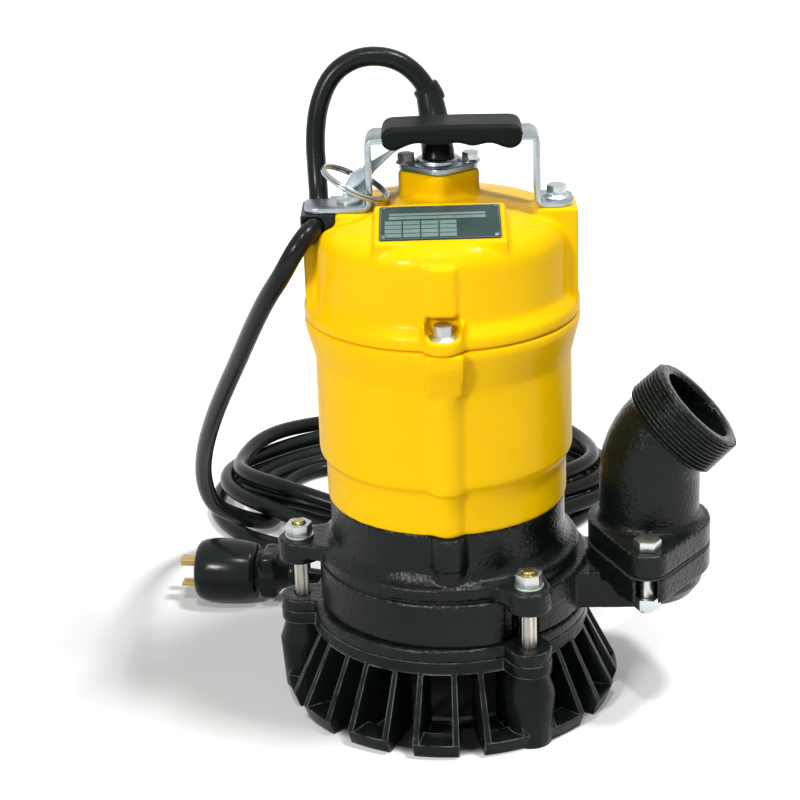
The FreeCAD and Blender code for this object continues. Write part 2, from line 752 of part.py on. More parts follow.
def brackets_and_bearings():
    """The two bearing carriers, and the bearings in them."""
    lower = new_body("motor_bracket")
    turn(lower, [(15, bracket_bottom - 8), (20, bracket_bottom - 8), (20, bracket_bottom),
                 (60, bracket_bottom), (60, bracket_top), (28, bracket_top), (28, bracket_top + 14),
                 (23.5, bracket_top + 14), (23.5, bracket_top), (10, bracket_top),
                 (10, bracket_bottom), (15, bracket_bottom)])
    upper = new_body("upper_bracket")
    turn(upper, [(10, head_split - 4), (66, head_split - 4), (66, head_split),
                 (22, head_split), (22, head_split + 12), (17.5, head_split + 12),
                 (17.5, head_split + 1), (10, head_split + 1)])
    window = pocket(upper, head_split, 4, bar_outline, (as_size(34), as_size(0)),
                    (as_size(52), as_size(0)), as_size(16))
    around(upper, [window], 4)
    for label, bottom, width, outer, inner in (
            ("lower_bearing", bracket_top, 14, 23.5, 8.5),
            ("upper_bearing", head_split + 1, 11, 17.5, 7.5)):
        bearing = new_body(label)
        third = (outer - inner) / 3
        turn(bearing, [(inner, bottom), (inner + third, bottom), (inner + third, bottom + 0.8),
                       (outer - third, bottom + 0.8), (outer - third, bottom), (outer, bottom),
                       (outer, bottom + width), (outer - third, bottom + width),
                       (outer - third, bottom + width - 0.8), (inner + third, bottom + width - 0.8),
                       (inner + third, bottom + width), (inner, bottom + width)])


def shaft_and_rotor():
    shaft = new_body("shaft")
    turn(shaft, [(0, shaft_bottom), (5, shaft_bottom), (5, casing_bottom + 6),
                 (impeller_seat, casing_bottom + 6), (impeller_seat, oil_floor - 2),
                 (seal_journal, oil_floor - 2), (seal_journal, bracket_top),
                 (8.5 - running_gap, bracket_top), (8.5 - running_gap, bracket_top + 14.5),
                 (11, bracket_top + 14.5), (11, core_top + 14), (7.5 - running_gap, core_top + 14),
                 (7.5 - running_gap, shaft_top - 1), (6.5, shaft_top), (0, shaft_top)])
    core = new_body("rotor_core")
    turn(core, [(11, core_bottom - 2), (20, core_bottom - 2), (20, core_bottom),
                (rotor_radius, core_bottom), (rotor_radius, core_top), (20, core_top),
                (20, core_top + 2), (11, core_top + 2)])


def impeller():
    """Half-open vortex wheel: a disc with six swept vanes under it."""
    body = new_body("impeller")
    bottom = casing_bottom + 8
    disc = chamber_top - 1
    turn(body, [(impeller_seat, bottom - 2), (12, bottom - 2), (14, disc - 3), (impeller_radius, disc - 3),
                (impeller_radius, disc), (impeller_seat, disc)])
    vane = pad(body, bottom, disc - bottom - 1, polygon,
               [(as_size(10), -2), (as_size(28), 4), (impeller_radius - 4, 15),
                (impeller_radius - 6, 18.5), (as_size(27), 8), (as_size(10), 3)])
    around(body, [vane], 6)
    return body


def agitator():
    """Stirring blades on the shaft end under the inlet, and the nut that holds the wheel."""
    body = new_body("agitator")
    turn(body, [(5, shaft_bottom + 2), (9, shaft_bottom + 2), (9, rim_bottom - 4), (5, rim_bottom - 4)])
    blade = pad(body, shaft_bottom + 2, rim_bottom - shaft_bottom - 8, bar_outline,
                (as_size(7), as_size(0)), (as_size(23), as_size(0)), as_size(5))
    around(body, [blade], 3)
    nut = new_body("impeller_nut")
    pad(nut, casing_bottom - 1, 7, hexagon, (as_size(0), as_size(0)), as_size(19))
    pocket(nut, casing_bottom + 6, 7, circle, (as_size(0), as_size(0)), 5)


def shaft_seals():
    """Double mechanical seal in the oil, its two seats and the ring that lifts the oil."""
    seats = new_body("seal_seats")
    turn(seats, [(9, oil_floor), (17, oil_floor), (17, oil_floor + 8), (9, oil_floor + 8)])
    turn(seats, [(9, bracket_bottom - 7), (15, bracket_bottom - 7), (15, bracket_bottom),
                 (9, bracket_bottom)])
    rotary = new_body("seal_rotary")
    low = oil_floor + 8.1
    high = bracket_bottom - 7.1
    turn(rotary, [(seal_journal, low), (13, low), (13, low + 4), (11, low + 4), (11, high - 4),
                  (13, high - 4), (13, high), (seal_journal, high)])
    lifter = new_body("oil_lifter")
    turn(lifter, [(19, oil_floor + 8), (26, oil_floor + 8), (26, oil_floor + 10),
                  (21.5, oil_floor + 10), (21.5, bracket_bottom - 9), (19, bracket_bottom - 9)])


def motor_electrics():
    """Starting capacitor standing on the upper bracket, and the overheat switch."""
    capacitor = new_body("run_capacitor")
    pad(capacitor, head_split, 38, circle, (as_size(12), as_size(43)), 14)
    pad(capacitor, head_split + 38, 4, circle, (as_size(12), as_size(43)), 9)
    protector = new_body("thermal_protector")
    pad(protector, core_top + 12, 6, circle, (as_size(30), as_size(-30)), 8)


def rings_between():
    """Gasket and sealing rings where the castings meet."""
    gasket = new_body("casing_gasket")
    turn(gasket, [(casing_mouth, casing_top), (71, casing_top), (71, oil_floor),
                  (casing_mouth, oil_floor)])
    stud_holes(gasket, oil_floor, oil_floor - casing_top, scallop_radius)
    for label, radius, level in (("housing_oring", 62.5, housing_bottom - 1),
                                 ("cover_oring", 69, head_split - 1)):
        ring = doc.addObject("Part::Torus", label)
        ring.Label = label
        bind(ring, "Radius1", radius)
        bind(ring, "Radius2", 1)
        bind(ring, "Placement.Base.z", level)
        parts.append(ring)


def stud_set():
    """Three studs screwed into the stand, each with a washer and a nut on the upper lug."""
    studs = new_body("casing_studs")
    stud = pad(studs, rim_bottom - 26, stud_top - rim_bottom + 26, circle, stud_place, stud_radius)
    around(studs, [stud], 3)
    round_off(studs, 1, rim(stud_radius, stud_top), "Chamfer")
    washers = new_body("stud_washers")
    washer = pad(washers, lug_top, washer_thickness, circle, stud_place, 8)
    around(washers, [washer], 3)
    stud_holes(washers, lug_top + washer_thickness, washer_thickness, stud_radius)
    nuts = new_body("stud_nuts")
    nut = pad(nuts, lug_top + washer_thickness, nut_height, hexagon, stud_place, nut_across, 12)
    around(nuts, [nut], 3)
    stud_holes(nuts, lug_top + washer_thickness + nut_height, nut_height, stud_radius)


def cover_bolts():
    body = new_body("cover_bolts")
    place = (as_size(0), -cover_bolt_circle)
    washer = pad(body, cover_bolt_seat, 1.4, circle, place, 8)
    head = pad(body, cover_bolt_seat + 1.4, 5.3, hexagon, place, nut_across, 18)
    shank = pad(body, head_split, cover_bolt_seat - head_split, circle, place, stud_radius)
    around(body, [washer, head, shank], 3)


def gland():
    """Plate over the cable entry, its two screws, and the rubber boot around the cord."""
    plate = new_body("gland_plate")
    pad(plate, pedestal_top, gland_plate_top - pedestal_top, polygon,
        [(25, gland_setback, 6.5), (0, gland_setback + 19, 6.5), (-25, gland_setback, 6.5),
         (0, gland_setback - 19, 6.5)])
    pad(plate, gland_plate_top, 2.4, circle, (as_size(0), gland_setback), 11.5)
    pocket(plate, gland_plate_top + 2.4, gland_plate_top + 2.4 - pedestal_top, circle,
           (as_size(0), gland_setback), 8)
    screws = new_body("gland_screws")
    for side in (1, -1):
        place = (as_size(17 * side), gland_setback)
        pad(screws, gland_plate_top, 1.2, circle, place, 5.6)
        pad(screws, gland_plate_top + 1.2, 3.8, hexagon, place, as_size(10), 15)


def cable_boot():
    """Tapered rubber boot that bends back with the cord, over the packing in the pedestal."""
    packing = new_body("gland_packing")
    pad(packing, crown_level - 10, gland_plate_top + 12.2 - crown_level, circle,
        (as_size(0), gland_setback), 8)
    foot = gland_plate_top.number + 2.4
    bend = ((0, gland_setback.number, foot, 8.7), (-0.3, gland_setback.number + 3, foot + 4.3, 8.4),
            (-1.2, 17, foot + 12, 8.2), (-2.2, 21.7, foot + 20, 7.8),
            (-3.4, 24.9, foot + 26.5, 7.3), (-5.2, 27, 336, 6.8))
    spine = Part.BSplineCurve()
    spine.interpolate(Points=[Vector(*entry[:3]) for entry in bend],
                      InitialTangent=Vector(0, 0, 1), FinalTangent=Vector(-4.6, 1, 8.3).normalize())
    rings = []
    last = spine.LastParameter
    for step in range(15):
        share = step / 14
        along = spine.tangent(share * last)[0]
        ring = Part.Circle(spine.value(share * last), along, 8.7 - 1.9 * share ** 1.3)
        rings.append(Part.Wire(ring.toShape()))
    return new_shape("cable_boot", Part.makeLoft(rings, True, True))


def handle_strap():
    """Flat steel strap bent up from its two feet and over the grip."""
    body = new_body("handle_strap")
    foot = ear_top + strap_thickness
    inner_left = strap_left + strap_thickness
    inner_right = strap_right - strap_thickness
    sketch = sketch_in(body, "XZ_Plane")
    polygon(sketch, [(foot_left, ear_top), (inner_left, ear_top),
                     (inner_left, strap_top - strap_thickness),
                     (inner_right, strap_top - strap_thickness), (inner_right, ear_top),
                     (foot_right, ear_top), (foot_right, foot), (strap_right, foot),
                     (strap_right, strap_top), (strap_left, strap_top), (strap_left, foot),
                     (foot_left, foot)])
    feature(body, "Pad", sketch, strap_width, Midplane=True)
    outer = [inner_left.number, inner_right.number]

    def outer_bend(middle):
        top = abs(middle.z - strap_top.number) < 0.1
        low = abs(middle.z - ear_top.number) < 0.1 and min(abs(middle.x - x) for x in outer) < 0.1
        return top or low

    def inner_bend(middle):
        under = abs(middle.z - strap_top.number + strap_thickness.number) < 0.1
        legs = [strap_left.number, strap_right.number]
        low = abs(middle.z - foot.number) < 0.1 and min(abs(middle.x - x) for x in legs) < 0.1
        return under or low

    round_off(body, 5.5, lengthways(Vector(0, 1, 0), outer_bend))
    round_off(body, 1.5, lengthways(Vector(0, 1, 0), inner_bend))
    round_off(body, 8, upright(ear_top, foot))
    hole = sketch_in(body, "XY_Plane", foot)
    circle(hole, (as_size(61.2), as_size(0)), 4.3)
    circle(hole, (as_size(-47), as_size(0)), 4.3)
    feature(body, "Pocket", hole, strap_thickness)
    pocket(body, foot, strap_thickness, polygon,
           [(-72, 7.5), (-57.5, 7.5, 3), (-57.5, 14), (-72, 14)])
    body.Placement = Placement(Vector(0, handle_setback.number, 0), Rotation())
    return body


def handle_grip():
    """Moulded grip with a waved underside, slotted for the strap."""
    left = grip_left.number
    right = grip_right.number
    top = grip_top.number
    waves = ((left + 2.5, 315.6), (left + 6.5, 314.2), (left + 12, 315.9), (left + 18, 317.6),
             (left + 24, 317.2), (left + 31, 316.6), (left + 38, 317.3), (left + 43, 316.6),
             (left + 47, 315.6), (left + 52, 316.3), (left + 57, 316.7), (left + 62, 315),
             (right - 6.5, 313.8), (right - 2.5, 315.4), (right - 0.3, 320), (right - 2.2, top - 2),
             (right - 9, top - 0.4), ((left + right) / 2, top), (left + 9, top - 0.4),
             (left + 2.2, top - 2), (left + 0.3, 320))
    side_outline = Part.BSplineCurve()
    side_outline.interpolate(Points=[Vector(x, 0, z) for x, z in waves], PeriodicFlag=True)
    width = grip_width.number
    face = Part.Face(Part.Wire(side_outline.toShape()))
    block = face.extrude(Vector(0, width, 0))
    block.translate(Vector(0, handle_setback.number - width / 2, 0))
    across = [edge for edge in block.Edges if edge.BoundBox.YLength < 0.1]
    block = block.makeFillet(3.2, across)
    slot = Part.makeBox(200, strap_width.number, strap_thickness.number,
                        Vector(-100, handle_setback.number - strap_width.number / 2,
                               strap_top.number - strap_thickness.number))
    return new_shape("handle_grip", block.cut(slot))


def handle_fasteners():
    body = new_body("handle_bolts")
    foot = ear_top + strap_thickness
    right = (as_size(61.2), handle_setback)
    left = (as_size(-47), handle_setback)
    pad(body, foot, 1.4, circle, right, 7.2)
    pad(body, foot + 1.4, 4.8, hexagon, right, nut_across, 10)
    pad(body, foot, 1.8, circle, left, 6.5)
    for place in (left, right):
        pad(body, ear_top, strap_thickness, circle, place, stud_radius)


def rope_tab():
    """Flat steel stay welded along the rear edges of the strap."""
    body = new_body("rope_tab")
    sketch = sketch_in(body, "XZ_Plane", -(handle_setback + strap_width / 2))
    polygon(sketch, [(as_size(-51), ear_top), (as_size(-51), ear_top + 5.5),
                     (as_size(-45.8), ear_top + 15, 4), (as_size(-26), ear_top + 26, 10),
                     (as_size(-19.5), ear_top + 31.2), (as_size(-13.5), ear_top + 31.2),
                     (as_size(-23.4), ear_top + 25, 10), (as_size(-34.6), ear_top + 14.6, 5),
                     (as_size(-38), ear_top)])
    feature(body, "Pad", sketch, 2, Reversed=True)
    return body


def nameplate():
    """Blank rating plate on a raised pad of the sloping head, and its four rivets."""
    plate = new_body("nameplate")
    pad(plate, 0, 0.8, polygon, [(-31, -17.5, 1.5), (31, -17.5, 1.5), (31, 17.5, 1.5),
                                 (-31, 17.5, 1.5)])
    rivets = new_body("nameplate_rivets")
    for x in (-28.5, 28.5):
        for y in (-15, 15):
            pad(rivets, 0.8, 0.9, circle, (as_size(x), as_size(y)), 1.3)
    rise = plate_high.number - plate_low.number
    tilt = Rotation(Vector(1, 0, 0), math.degrees(math.atan2(rise, 40)))
    centre = Vector(0, -39, (plate_high.number + plate_low.number) / 2)
    for body in (plate, rivets):
        body.Placement = Placement(centre, tilt)


def rounded_route(corners, near=0.45):
    """Straight runs through the corners, joined by tangent arcs, as one wire."""
    edges = []
    radii = []
    start = corners[0]
    for before, corner, after in zip(corners, corners[1:], corners[2:]):
        into = corner - before
        out = after - corner
        half = into.getAngle(out) / 2
        reach = near * min(into.Length, out.Length)
        radii.append(reach / math.tan(half))
        first = corner - into.normalize() * reach
        last = corner + out.normalize() * reach
        bow = corner - (corner - (first + last) * 0.5).normalize() * (
            radii[-1] / math.cos(half) - radii[-1])
        edges.append(Part.LineSegment(start, first).toShape())
        edges.append(Part.Arc(first, bow, last).toShape())
        start = last
    edges.append(Part.LineSegment(start, corners[-1]).toShape())
    return Part.Wire(edges), radii


def cord_tube(label, route):
    """Round cord along a rounded route."""
    corners = [Vector(*point) for point in route]
    wire, radii = rounded_route(corners)
    radius = cord_diameter.number / 2
    ring = Part.Circle(corners[0], corners[1] - corners[0], radius)
    tube = wire.makePipeShell([Part.Wire(ring.toShape())], True, False)
    if tube.ShapeType != "Solid":
        tube = Part.Solid(tube)
    expected = math.pi * radius ** 2 * wire.Length
    print(f"{label}: length {wire.Length:.0f} mm, volume ratio {tube.Volume / expected:.4f},",
          "bend radii", " ".join(f"{value:.0f}" for value in radii))
    return new_shape(label, tube)


run_route = (
    (-5.2, 27, 336), (-9.8, 28, 344.3), (-23.3, 29, 353.2), (-40.5, 29, 354), (-54.6, 27.5, 346),
    (-62.4, 25, 330.8), (-65.2, 21.5, 313), (-64.6, 17, 296.5), (-64, 12, 285), (-63.6, 3.5, 274.8),
    (-63.4, -8, 274.8), (-64.8, -18.6, 276), (-69, -28.6, 274.4), (-75.8, -33.6, 266),
    (-83.2, -30, 252.3), (-92.6, -17, 236), (-103, 5, 212.5), (-114, 32, 185), (-126, 61, 156),
    (-137.2, 89, 127), (-146.5, 117, 97.5), (-151.6, 142, 69), (-151.6, 164, 44),
    (-146.5, 181, 23.5), (-131, 196, 9.5))
tail_route = (
    (-98, 104, 15), (-84, 102, 13), (-66, 108, 9), (-50, 120, 6), (-36, 134, 5.4),
    (-22, 146, 6), (-10, 152, 7.5), (4, 154.5, 9))
coil_centre = Vector(-18, 264, 0)
coil_height = 24


def cord():
    """Rubber cord: over the handle, down behind the pump, a loose coil, and on to the plug."""
    cord_tube("cord_run", run_route)
    cord_tube("cord_tail", tail_route)

    def stack(reach, depth, centre, flare):
        """Ellipses at four levels, drawn in or out by flare at the floor and at the top."""
        rings = []
        for level, share in ((0, 1), (0.27, 0), (0.73, 0), (1, 1)):
            middle = centre + Vector(0, 0, level * coil_height)
            oval = Part.Ellipse(middle, reach + share * flare, depth + share * flare)
            rings.append(Part.Wire(oval.toShape()))
        return Part.makeLoft(rings, True, True)

    outside = stack(140, 114, coil_centre, -6)
    inside = stack(95, 44, coil_centre + Vector(2, -8, 0), 6)
    return new_shape("cord_coil", outside.cut(inside))


def cord_clamp(run):
    """Rubber block under the left foot of the handle that grips the cord."""
    block = Part.makeBox(18, 29, ear_top.number - clamp_bottom.number,
                         Vector(-72.5, handle_setback.number - 14.5, clamp_bottom.number))
    block = block.makeFillet(3.5, [edge for edge in block.Edges if edge.BoundBox.ZMax < 267.1
                                   and edge.BoundBox.XLength < 0.1])
    return new_shape("cord_clamp", block.cut(run.Shape))


def plug():
    """Straight plug lying on its side, turned from one outline, with its blades."""
    body = new_body("plug_body")
    turn(body, [(0, 0), (7.5, 0), (8.5, 12), (12, 16), (15, 20), (plug_radius, 28),
                (plug_radius, 54), (plug_radius - 2, 57), (0, 57)])
    pocket(body, 12, 12, circle, (as_size(0), as_size(0)), cord_diameter / 2)
    blades = new_body("plug_blades")
    for side in (1, -1):
        across = as_size(6.3 * side)
        pad(blades, 57, 16, bar_outline, (across, as_size(-5.2)), (across, as_size(1.2)), as_size(1.6))
    ground = new_body("ground_pin")
    pad(ground, 57, 20, circle, (as_size(0), as_size(8.5)), 2.4)
    lay = Placement(Vector(plug_x.number + 12, plug_y.number - 1.6, plug_radius.number),
                    Rotation(Vector(0, 1, 0), -90))
    lay = Placement(Vector(0, 0, 0), Rotation(Vector(0, 0, 1), -8),
                    Vector(plug_x.number, plug_y.number, 0)) * lay
    for piece in (body, blades, ground):
        piece.Placement = lay


def split_ring():
    """Double-wound ring around the left leg of the handle."""
    ring = doc.addObject("Part::Torus", "split_ring")
    ring.Label = "split_ring"
    bind(ring, "Radius1", 18.6)
    bind(ring, "Radius2", 1.5)
    ring.Placement = Placement(Vector(-43.5, handle_setback.number, 294.5),
                               Rotation(Vector(0, 1, 0), 20))
    parts.append(ring)


strainer()
suction_cover()
pump_casing()
discharge_elbow()
elbow_gasket()
elbow_bolts()
oil_casing()
oil_plug()
motor_housing()
head_cover()
stator()
brackets_and_bearings()
shaft_and_rotor()
impeller()
agitator()
shaft_seals()
motor_electrics()
rings_between()
stud_set()
cover_bolts()
gland()
cable_boot()
handle_strap()
handle_grip()
handle_fasteners()
rope_tab()
nameplate()
cord()
cord_clamp(doc.getObject("cord_run"))
plug()
split_ring()

doc.recompute()

failed = [f"{entry.Label} in {', '.join(user.Label for user in entry.InList)}"
          for entry in doc.Objects if "Invalid" in entry.State or "Error" in entry.State]
failed += [sub_part.Label for sub_part in parts
           if sub_part.Shape.isNull() or not sub_part.Shape.isValid()]
if failed:
    raise RuntimeError("failed: " + "; ".join(failed))

os.makedirs("parts", exist_ok=True)
for sub_part in parts:
    sub_part.Shape.exportStep(f"parts/{sub_part.Label}.step")
print(len(parts), "sub-parts written")
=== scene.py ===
# %% [markdown]
# # A submersible sump pump
# The pump stands on a finned iron strainer. Above it come the pump casing with its bent outlet,
# the oil casing, the yellow motor housing and the yellow head with its carrying handle.
# The mechanical shapes come from a measured CAD model. Blender gives them their finish: soft cast
# edges, paint, rubber, plated steel, the thread of the outlet and the long coiled cord.

import json
from math import cos, pi, radians, sin

import bmesh
import bpy
from mathutils import Matrix, Vector

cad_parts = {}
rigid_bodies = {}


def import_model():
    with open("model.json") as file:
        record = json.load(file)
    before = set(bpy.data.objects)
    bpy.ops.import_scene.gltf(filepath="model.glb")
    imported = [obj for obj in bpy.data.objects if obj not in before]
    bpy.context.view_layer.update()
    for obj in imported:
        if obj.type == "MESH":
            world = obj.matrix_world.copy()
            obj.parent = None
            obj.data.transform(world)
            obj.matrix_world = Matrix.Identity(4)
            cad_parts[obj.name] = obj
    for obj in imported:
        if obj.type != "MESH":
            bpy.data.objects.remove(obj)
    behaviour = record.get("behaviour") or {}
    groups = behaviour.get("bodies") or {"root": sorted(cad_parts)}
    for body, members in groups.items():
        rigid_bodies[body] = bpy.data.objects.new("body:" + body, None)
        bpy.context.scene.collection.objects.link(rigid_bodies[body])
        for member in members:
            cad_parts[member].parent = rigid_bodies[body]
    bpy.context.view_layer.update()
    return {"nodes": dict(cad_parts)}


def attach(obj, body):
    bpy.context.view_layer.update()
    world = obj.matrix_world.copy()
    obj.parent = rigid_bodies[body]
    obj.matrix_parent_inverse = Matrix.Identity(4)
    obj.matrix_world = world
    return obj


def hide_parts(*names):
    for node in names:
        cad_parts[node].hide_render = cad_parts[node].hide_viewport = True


for leftover in list(bpy.data.objects):
    bpy.data.objects.remove(leftover)

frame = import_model()
nodes = frame["nodes"]

# %% [markdown]
# ## The camera
# The picture is taken from the front, a little above the pump. The camera's place, turn and long
# lens were worked out from the round rims of the pump, which show as ovals. A camera in Blender
# looks along its own minus Z, so its three directions are the columns of a matrix.

# %% Set the camera
pan, pitch, roll = radians(-1.52), radians(21.05), radians(-2.10)
camera_place = (0, -1.11728, 0.60049)
forward = Vector((sin(pan) * cos(pitch), cos(pan) * cos(pitch), -sin(pitch)))
level = Vector((cos(pan), -sin(pan), 0))
steep = level.cross(forward)
to_right = level * cos(roll) + steep * sin(roll)
to_top = steep * cos(roll) - level * sin(roll)

camera = bpy.data.objects.new("camera", bpy.data.cameras.new("camera"))
camera.data.lens = 98.99
camera.data.shift_x = 0.01215
camera.data.shift_y = 0.0005
camera.data.clip_end = 20
turned = Matrix((to_right, to_top, -forward)).transposed().to_4x4()
camera.matrix_world = Matrix.Translation(camera_place) @ turned
bpy.context.scene.collection.objects.link(camera)
bpy.context.scene.camera = camera
bpy.context.scene.view_settings.view_transform = "Standard"
print("camera looks along", [round(part, 3) for part in forward])

# %% [markdown]
# ## Small helpers
# Every new piece starts as a bmesh, is shaped with its operators and ends as a mesh whose object
# sits at the origin. Round parts are shaded smooth, but edges sharper than a given angle stay
# crisp. A loaded shape comes as loose triangles, so a copy is merged first.

# %% Make pieces from bmeshes
collection = bpy.context.scene.collection


def merged(node):
    """A bmesh of a loaded shape with its loose triangles joined."""
    work = bmesh.new()
    work.from_mesh(nodes[node].data)
    bmesh.ops.remove_doubles(work, verts=work.verts, dist=2e-6)
    return work


def everything(work):
    """All points, edges and faces of a bmesh."""
    return work.verts[:] + work.edges[:] + work.faces[:]


def z_towards(direction):
    """A turn that brings Z to a direction."""
    return direction.to_track_quat("Z", "Y").to_matrix().to_4x4()


def lathed(outline, steps, tolerance, closed=False):
    """A bmesh of an outline of radius and height pairs, spun once round Z."""
    work = bmesh.new()
    path = [work.verts.new((radius, 0, height)) for radius, height in outline]
    ends = path[1:] + path[:1] if closed else path[1:]
    edges = [work.edges.new(pair) for pair in zip(path, ends)]
    bmesh.ops.spin(work, geom=path + edges, cent=(0, 0, 0), axis=(0, 0, 1), angle=2 * pi,
                   steps=steps, use_merge=True)
    bmesh.ops.remove_doubles(work, verts=work.verts, dist=tolerance)
    return work


def put(work, matrix):
    """Turns the faces of a bmesh outward and moves it to its place."""
    bmesh.ops.recalc_face_normals(work, faces=work.faces)
    bmesh.ops.transform(work, matrix=matrix, verts=work.verts)


def finished(work, name, material, node=None, body="pump", crisp=30):
    """Turns a bmesh into a dressed piece that moves with a body. It may stand for a loaded node."""
    mesh = bpy.data.meshes.new(name)
    work.to_mesh(mesh)
    work.free()
    spare = mesh.attributes.get("custom_normal")
    if spare:
        mesh.attributes.remove(spare)
    mesh.shade_smooth()
    mesh.set_sharp_from_angle(angle=radians(crisp))
    mesh.materials.clear()
    mesh.materials.append(material)
    piece = bpy.data.objects.new(name, mesh)
    collection.objects.link(piece)
    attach(piece, body)
    if node:
        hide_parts(node)
    print(name, len(mesh.polygons), "faces")
    return piece


print("helpers ready")

# %% [markdown]
# ## The cord's line
# The cord leaves the gland behind the grip, arches over the handle, runs under its left foot and
# through a rubber block, falls beside the pump and lies in a loose coil on the floor behind it.
# Its last stretch comes out in front of the coil to the plug. A cord could be simulated, but its
# shape is known here, so it is one smooth NURBS line that a row of points guides. In plan the
# points follow the photo, and what the pump hides is guessed. Their heights were worked out
# beforehand, so that each later turn lies beside or on the earlier ones, a cord's thickness apart.

# %% Lay the cord
thickness = 0.0104
# the places are in millimetres
fall = (
    (-5.2, 27, 336), (-9.8, 28, 344.3), (-23.3, 29, 353.2), (-40.5, 29, 354), (-54.6, 27.5, 346),
    (-62.4, 25, 330.8), (-65.2, 21.5, 313), (-64.6, 17, 296.5), (-64, 12, 285),
    (-63.6, 3.5, 274.8), (-63.4, -8, 274.8), (-64.8, -18.6, 276), (-69, -28.6, 274.4),
    (-75.8, -33.6, 266), (-83.2, -30, 252.3), (-92.6, -17, 236), (-103, 5, 212.5),
    (-114, 32, 185), (-126, 61, 156), (-137.2, 89, 127), (-146.5, 117, 97.5), (-151.6, 141, 71),
    (-151.6, 158, 50), (-148.5, 170, 36), (-140, 180.5, 25.5), (-128, 191.5, 15.5),
    (-118.5, 205, 8), (-113.5, 222, 5.2),
)
turns = (
    (-115.7, 263.7, 5.2), (-98.2, 295.3, 5.2), (-63.7, 306, 5.2), (-26.7, 306, 5.2),
    (9.3, 306, 5.2), (44.8, 305, 5.2), (73.9, 286.1, 5.2), (82.7, 252.4, 5.2), (67.1, 220.5, 5.2),
    (34.7, 206.1, 5.2), (-1.5, 206, 5.2), (-41.3, 206, 5.2), (-82.9, 206.2, 9.2),
    (-118.6, 225.5, 19.9), (-129.7, 263.9, 8.9), (-113.1, 298.7, 5.2), (-76.3, 320.1, 5.2),
    (-30.4, 325.6, 5.2), (15.2, 324.7, 5.2), (56.6, 314.5, 5.2), (85.6, 287.9, 5.2),
    (93.7, 252.5, 7.4), (78.2, 220.2, 13.1), (44, 200.5, 14.5), (1.3, 195.3, 9.2),
    (-48.1, 195.8, 12), (-97.7, 202.3, 23.7), (-133.3, 226.8, 22), (-142.7, 264.3, 6.9),
    (-126, 303.1, 5.2), (-87.2, 332.9, 5.2), (-33.9, 347.9, 5.2), (20.5, 345.1, 5.2),
    (66.5, 325, 5.2), (96.6, 291.7, 5.2), (104.7, 250.8, 5.2), (89.4, 206.9, 5.2),
    (53.5, 173.2, 5.2), (4.3, 156.2, 5.2), (-56.8, 156.3, 5.2), (-120.7, 174.3, 5.2),
    (-153.3, 218, 5.2), (-156.7, 265.8, 5.2), (-138.2, 313.5, 5.2), (-95.1, 350.2, 5.2),
    (-36, 368.7, 5.2), (23.7, 365.2, 5.2), (73.9, 340.5, 5.2), (106.8, 299.4, 5.2),
    (115.7, 251.7, 9.2), (98.9, 212.9, 16.2), (59.8, 183.1, 17.2), (6, 168.1, 7.1),
    (-54.3, 169.6, 5.2), (-110.3, 188.4, 22.9), (-144, 223.6, 22.4), (-150.7, 265.1, 19.8),
    (-133, 308.6, 12.5), (-91.7, 342, 12.8), (-35.1, 358.8, 10), (22.2, 355.6, 10.7),
    (70.6, 333.1, 13.5), (102.1, 295.7, 13.8), (110.7, 252.5, 22.1), (94.6, 218.8, 23.4),
    (56.9, 192.9, 24.8), (5.2, 179.9, 6.2), (-51.5, 181.7, 21.2), (-102.7, 198.4, 34.2),
    (-134.5, 228.4, 32.3), (-141.8, 266.1, 25.2), (-127.3, 316.6, 25.6), (-88.2, 355.6, 18.5),
    (-33.8, 373, 14.5), (19.3, 369, 15.2), (63.8, 343.4, 25.7), (92.8, 300.9, 23.9),
    (100.7, 252.7, 29.4), (85.9, 220.3, 33.4), (51.3, 195.4, 35),
)
tail = (
    (-5, 173.5, 20), (-18, 163, 20), (-30.5, 150, 16.5), (-42, 136.5, 11), (-54, 122.5, 7.4),
    (-68, 111.5, 9.2), (-83, 105, 15), (-98, 104, 18.4),
)
places = [tuple(value / 1000 for value in place) for place in fall + turns + tail]


def laid_cord(name, places, thickness):
    """One open NURBS line guided by the places. Each point's radius is half the cord."""
    line = bpy.data.curves.new(name, "CURVE")
    line.dimensions = "3D"
    spline = line.splines.new("NURBS")
    spline.points.add(len(places) - 1)
    for spot, place in zip(spline.points, places):
        spot.co = (*place, 1)
        spot.radius = thickness / 2
    spline.order_u = 3
    spline.use_endpoint_u = True
    line.resolution_u = 10
    line.bevel_depth = 1
    line.bevel_resolution = 5
    line.use_fill_caps = True
    laid = bpy.data.objects.new(name, line)
    collection.objects.link(laid)
    return laid


cord = laid_cord("rubber_cord", places, thickness)
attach(cord, "pump")
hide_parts("cord_run", "cord_coil", "cord_tail")
print("cord has", len(places), "points")

# %% [markdown]
# ## Helpers for nodes
# The floor, the background and every finish are made of shader nodes. These helpers add a node,
# fill or link its inputs by name, and write a sum, a range or a mix of colours in one line.

# %% Node helpers
def fill(tree, socket, value):
    """Links another node's output to a socket, or sets the socket to a plain value."""
    if isinstance(value, bpy.types.NodeSocket):
        tree.links.new(value, socket)
    else:
        socket.default_value = value


def feed(tree, node, **values):
    """Fills inputs of a node by their names, with _ for each blank."""
    for label, value in values.items():
        wanted = label.replace("_", " ")
        fill(tree, next(one for one in node.inputs if one.name == wanted and one.enabled), value)


def add(tree, kind, settings=(), **values):
    """Adds a node, sets its options and fills its inputs."""
    node = tree.nodes.new("ShaderNode" + kind)
    for option, choice in dict(settings).items():
        setattr(node, option, choice)
    feed(tree, node, **values)
    return node


def arithmetic(tree, operation, *values):
    """One Math node with its inputs in order."""
    node = add(tree, "Math", {"operation": operation})
    for socket, value in zip(node.inputs, values):
        fill(tree, socket, value)
    return node.outputs[0]


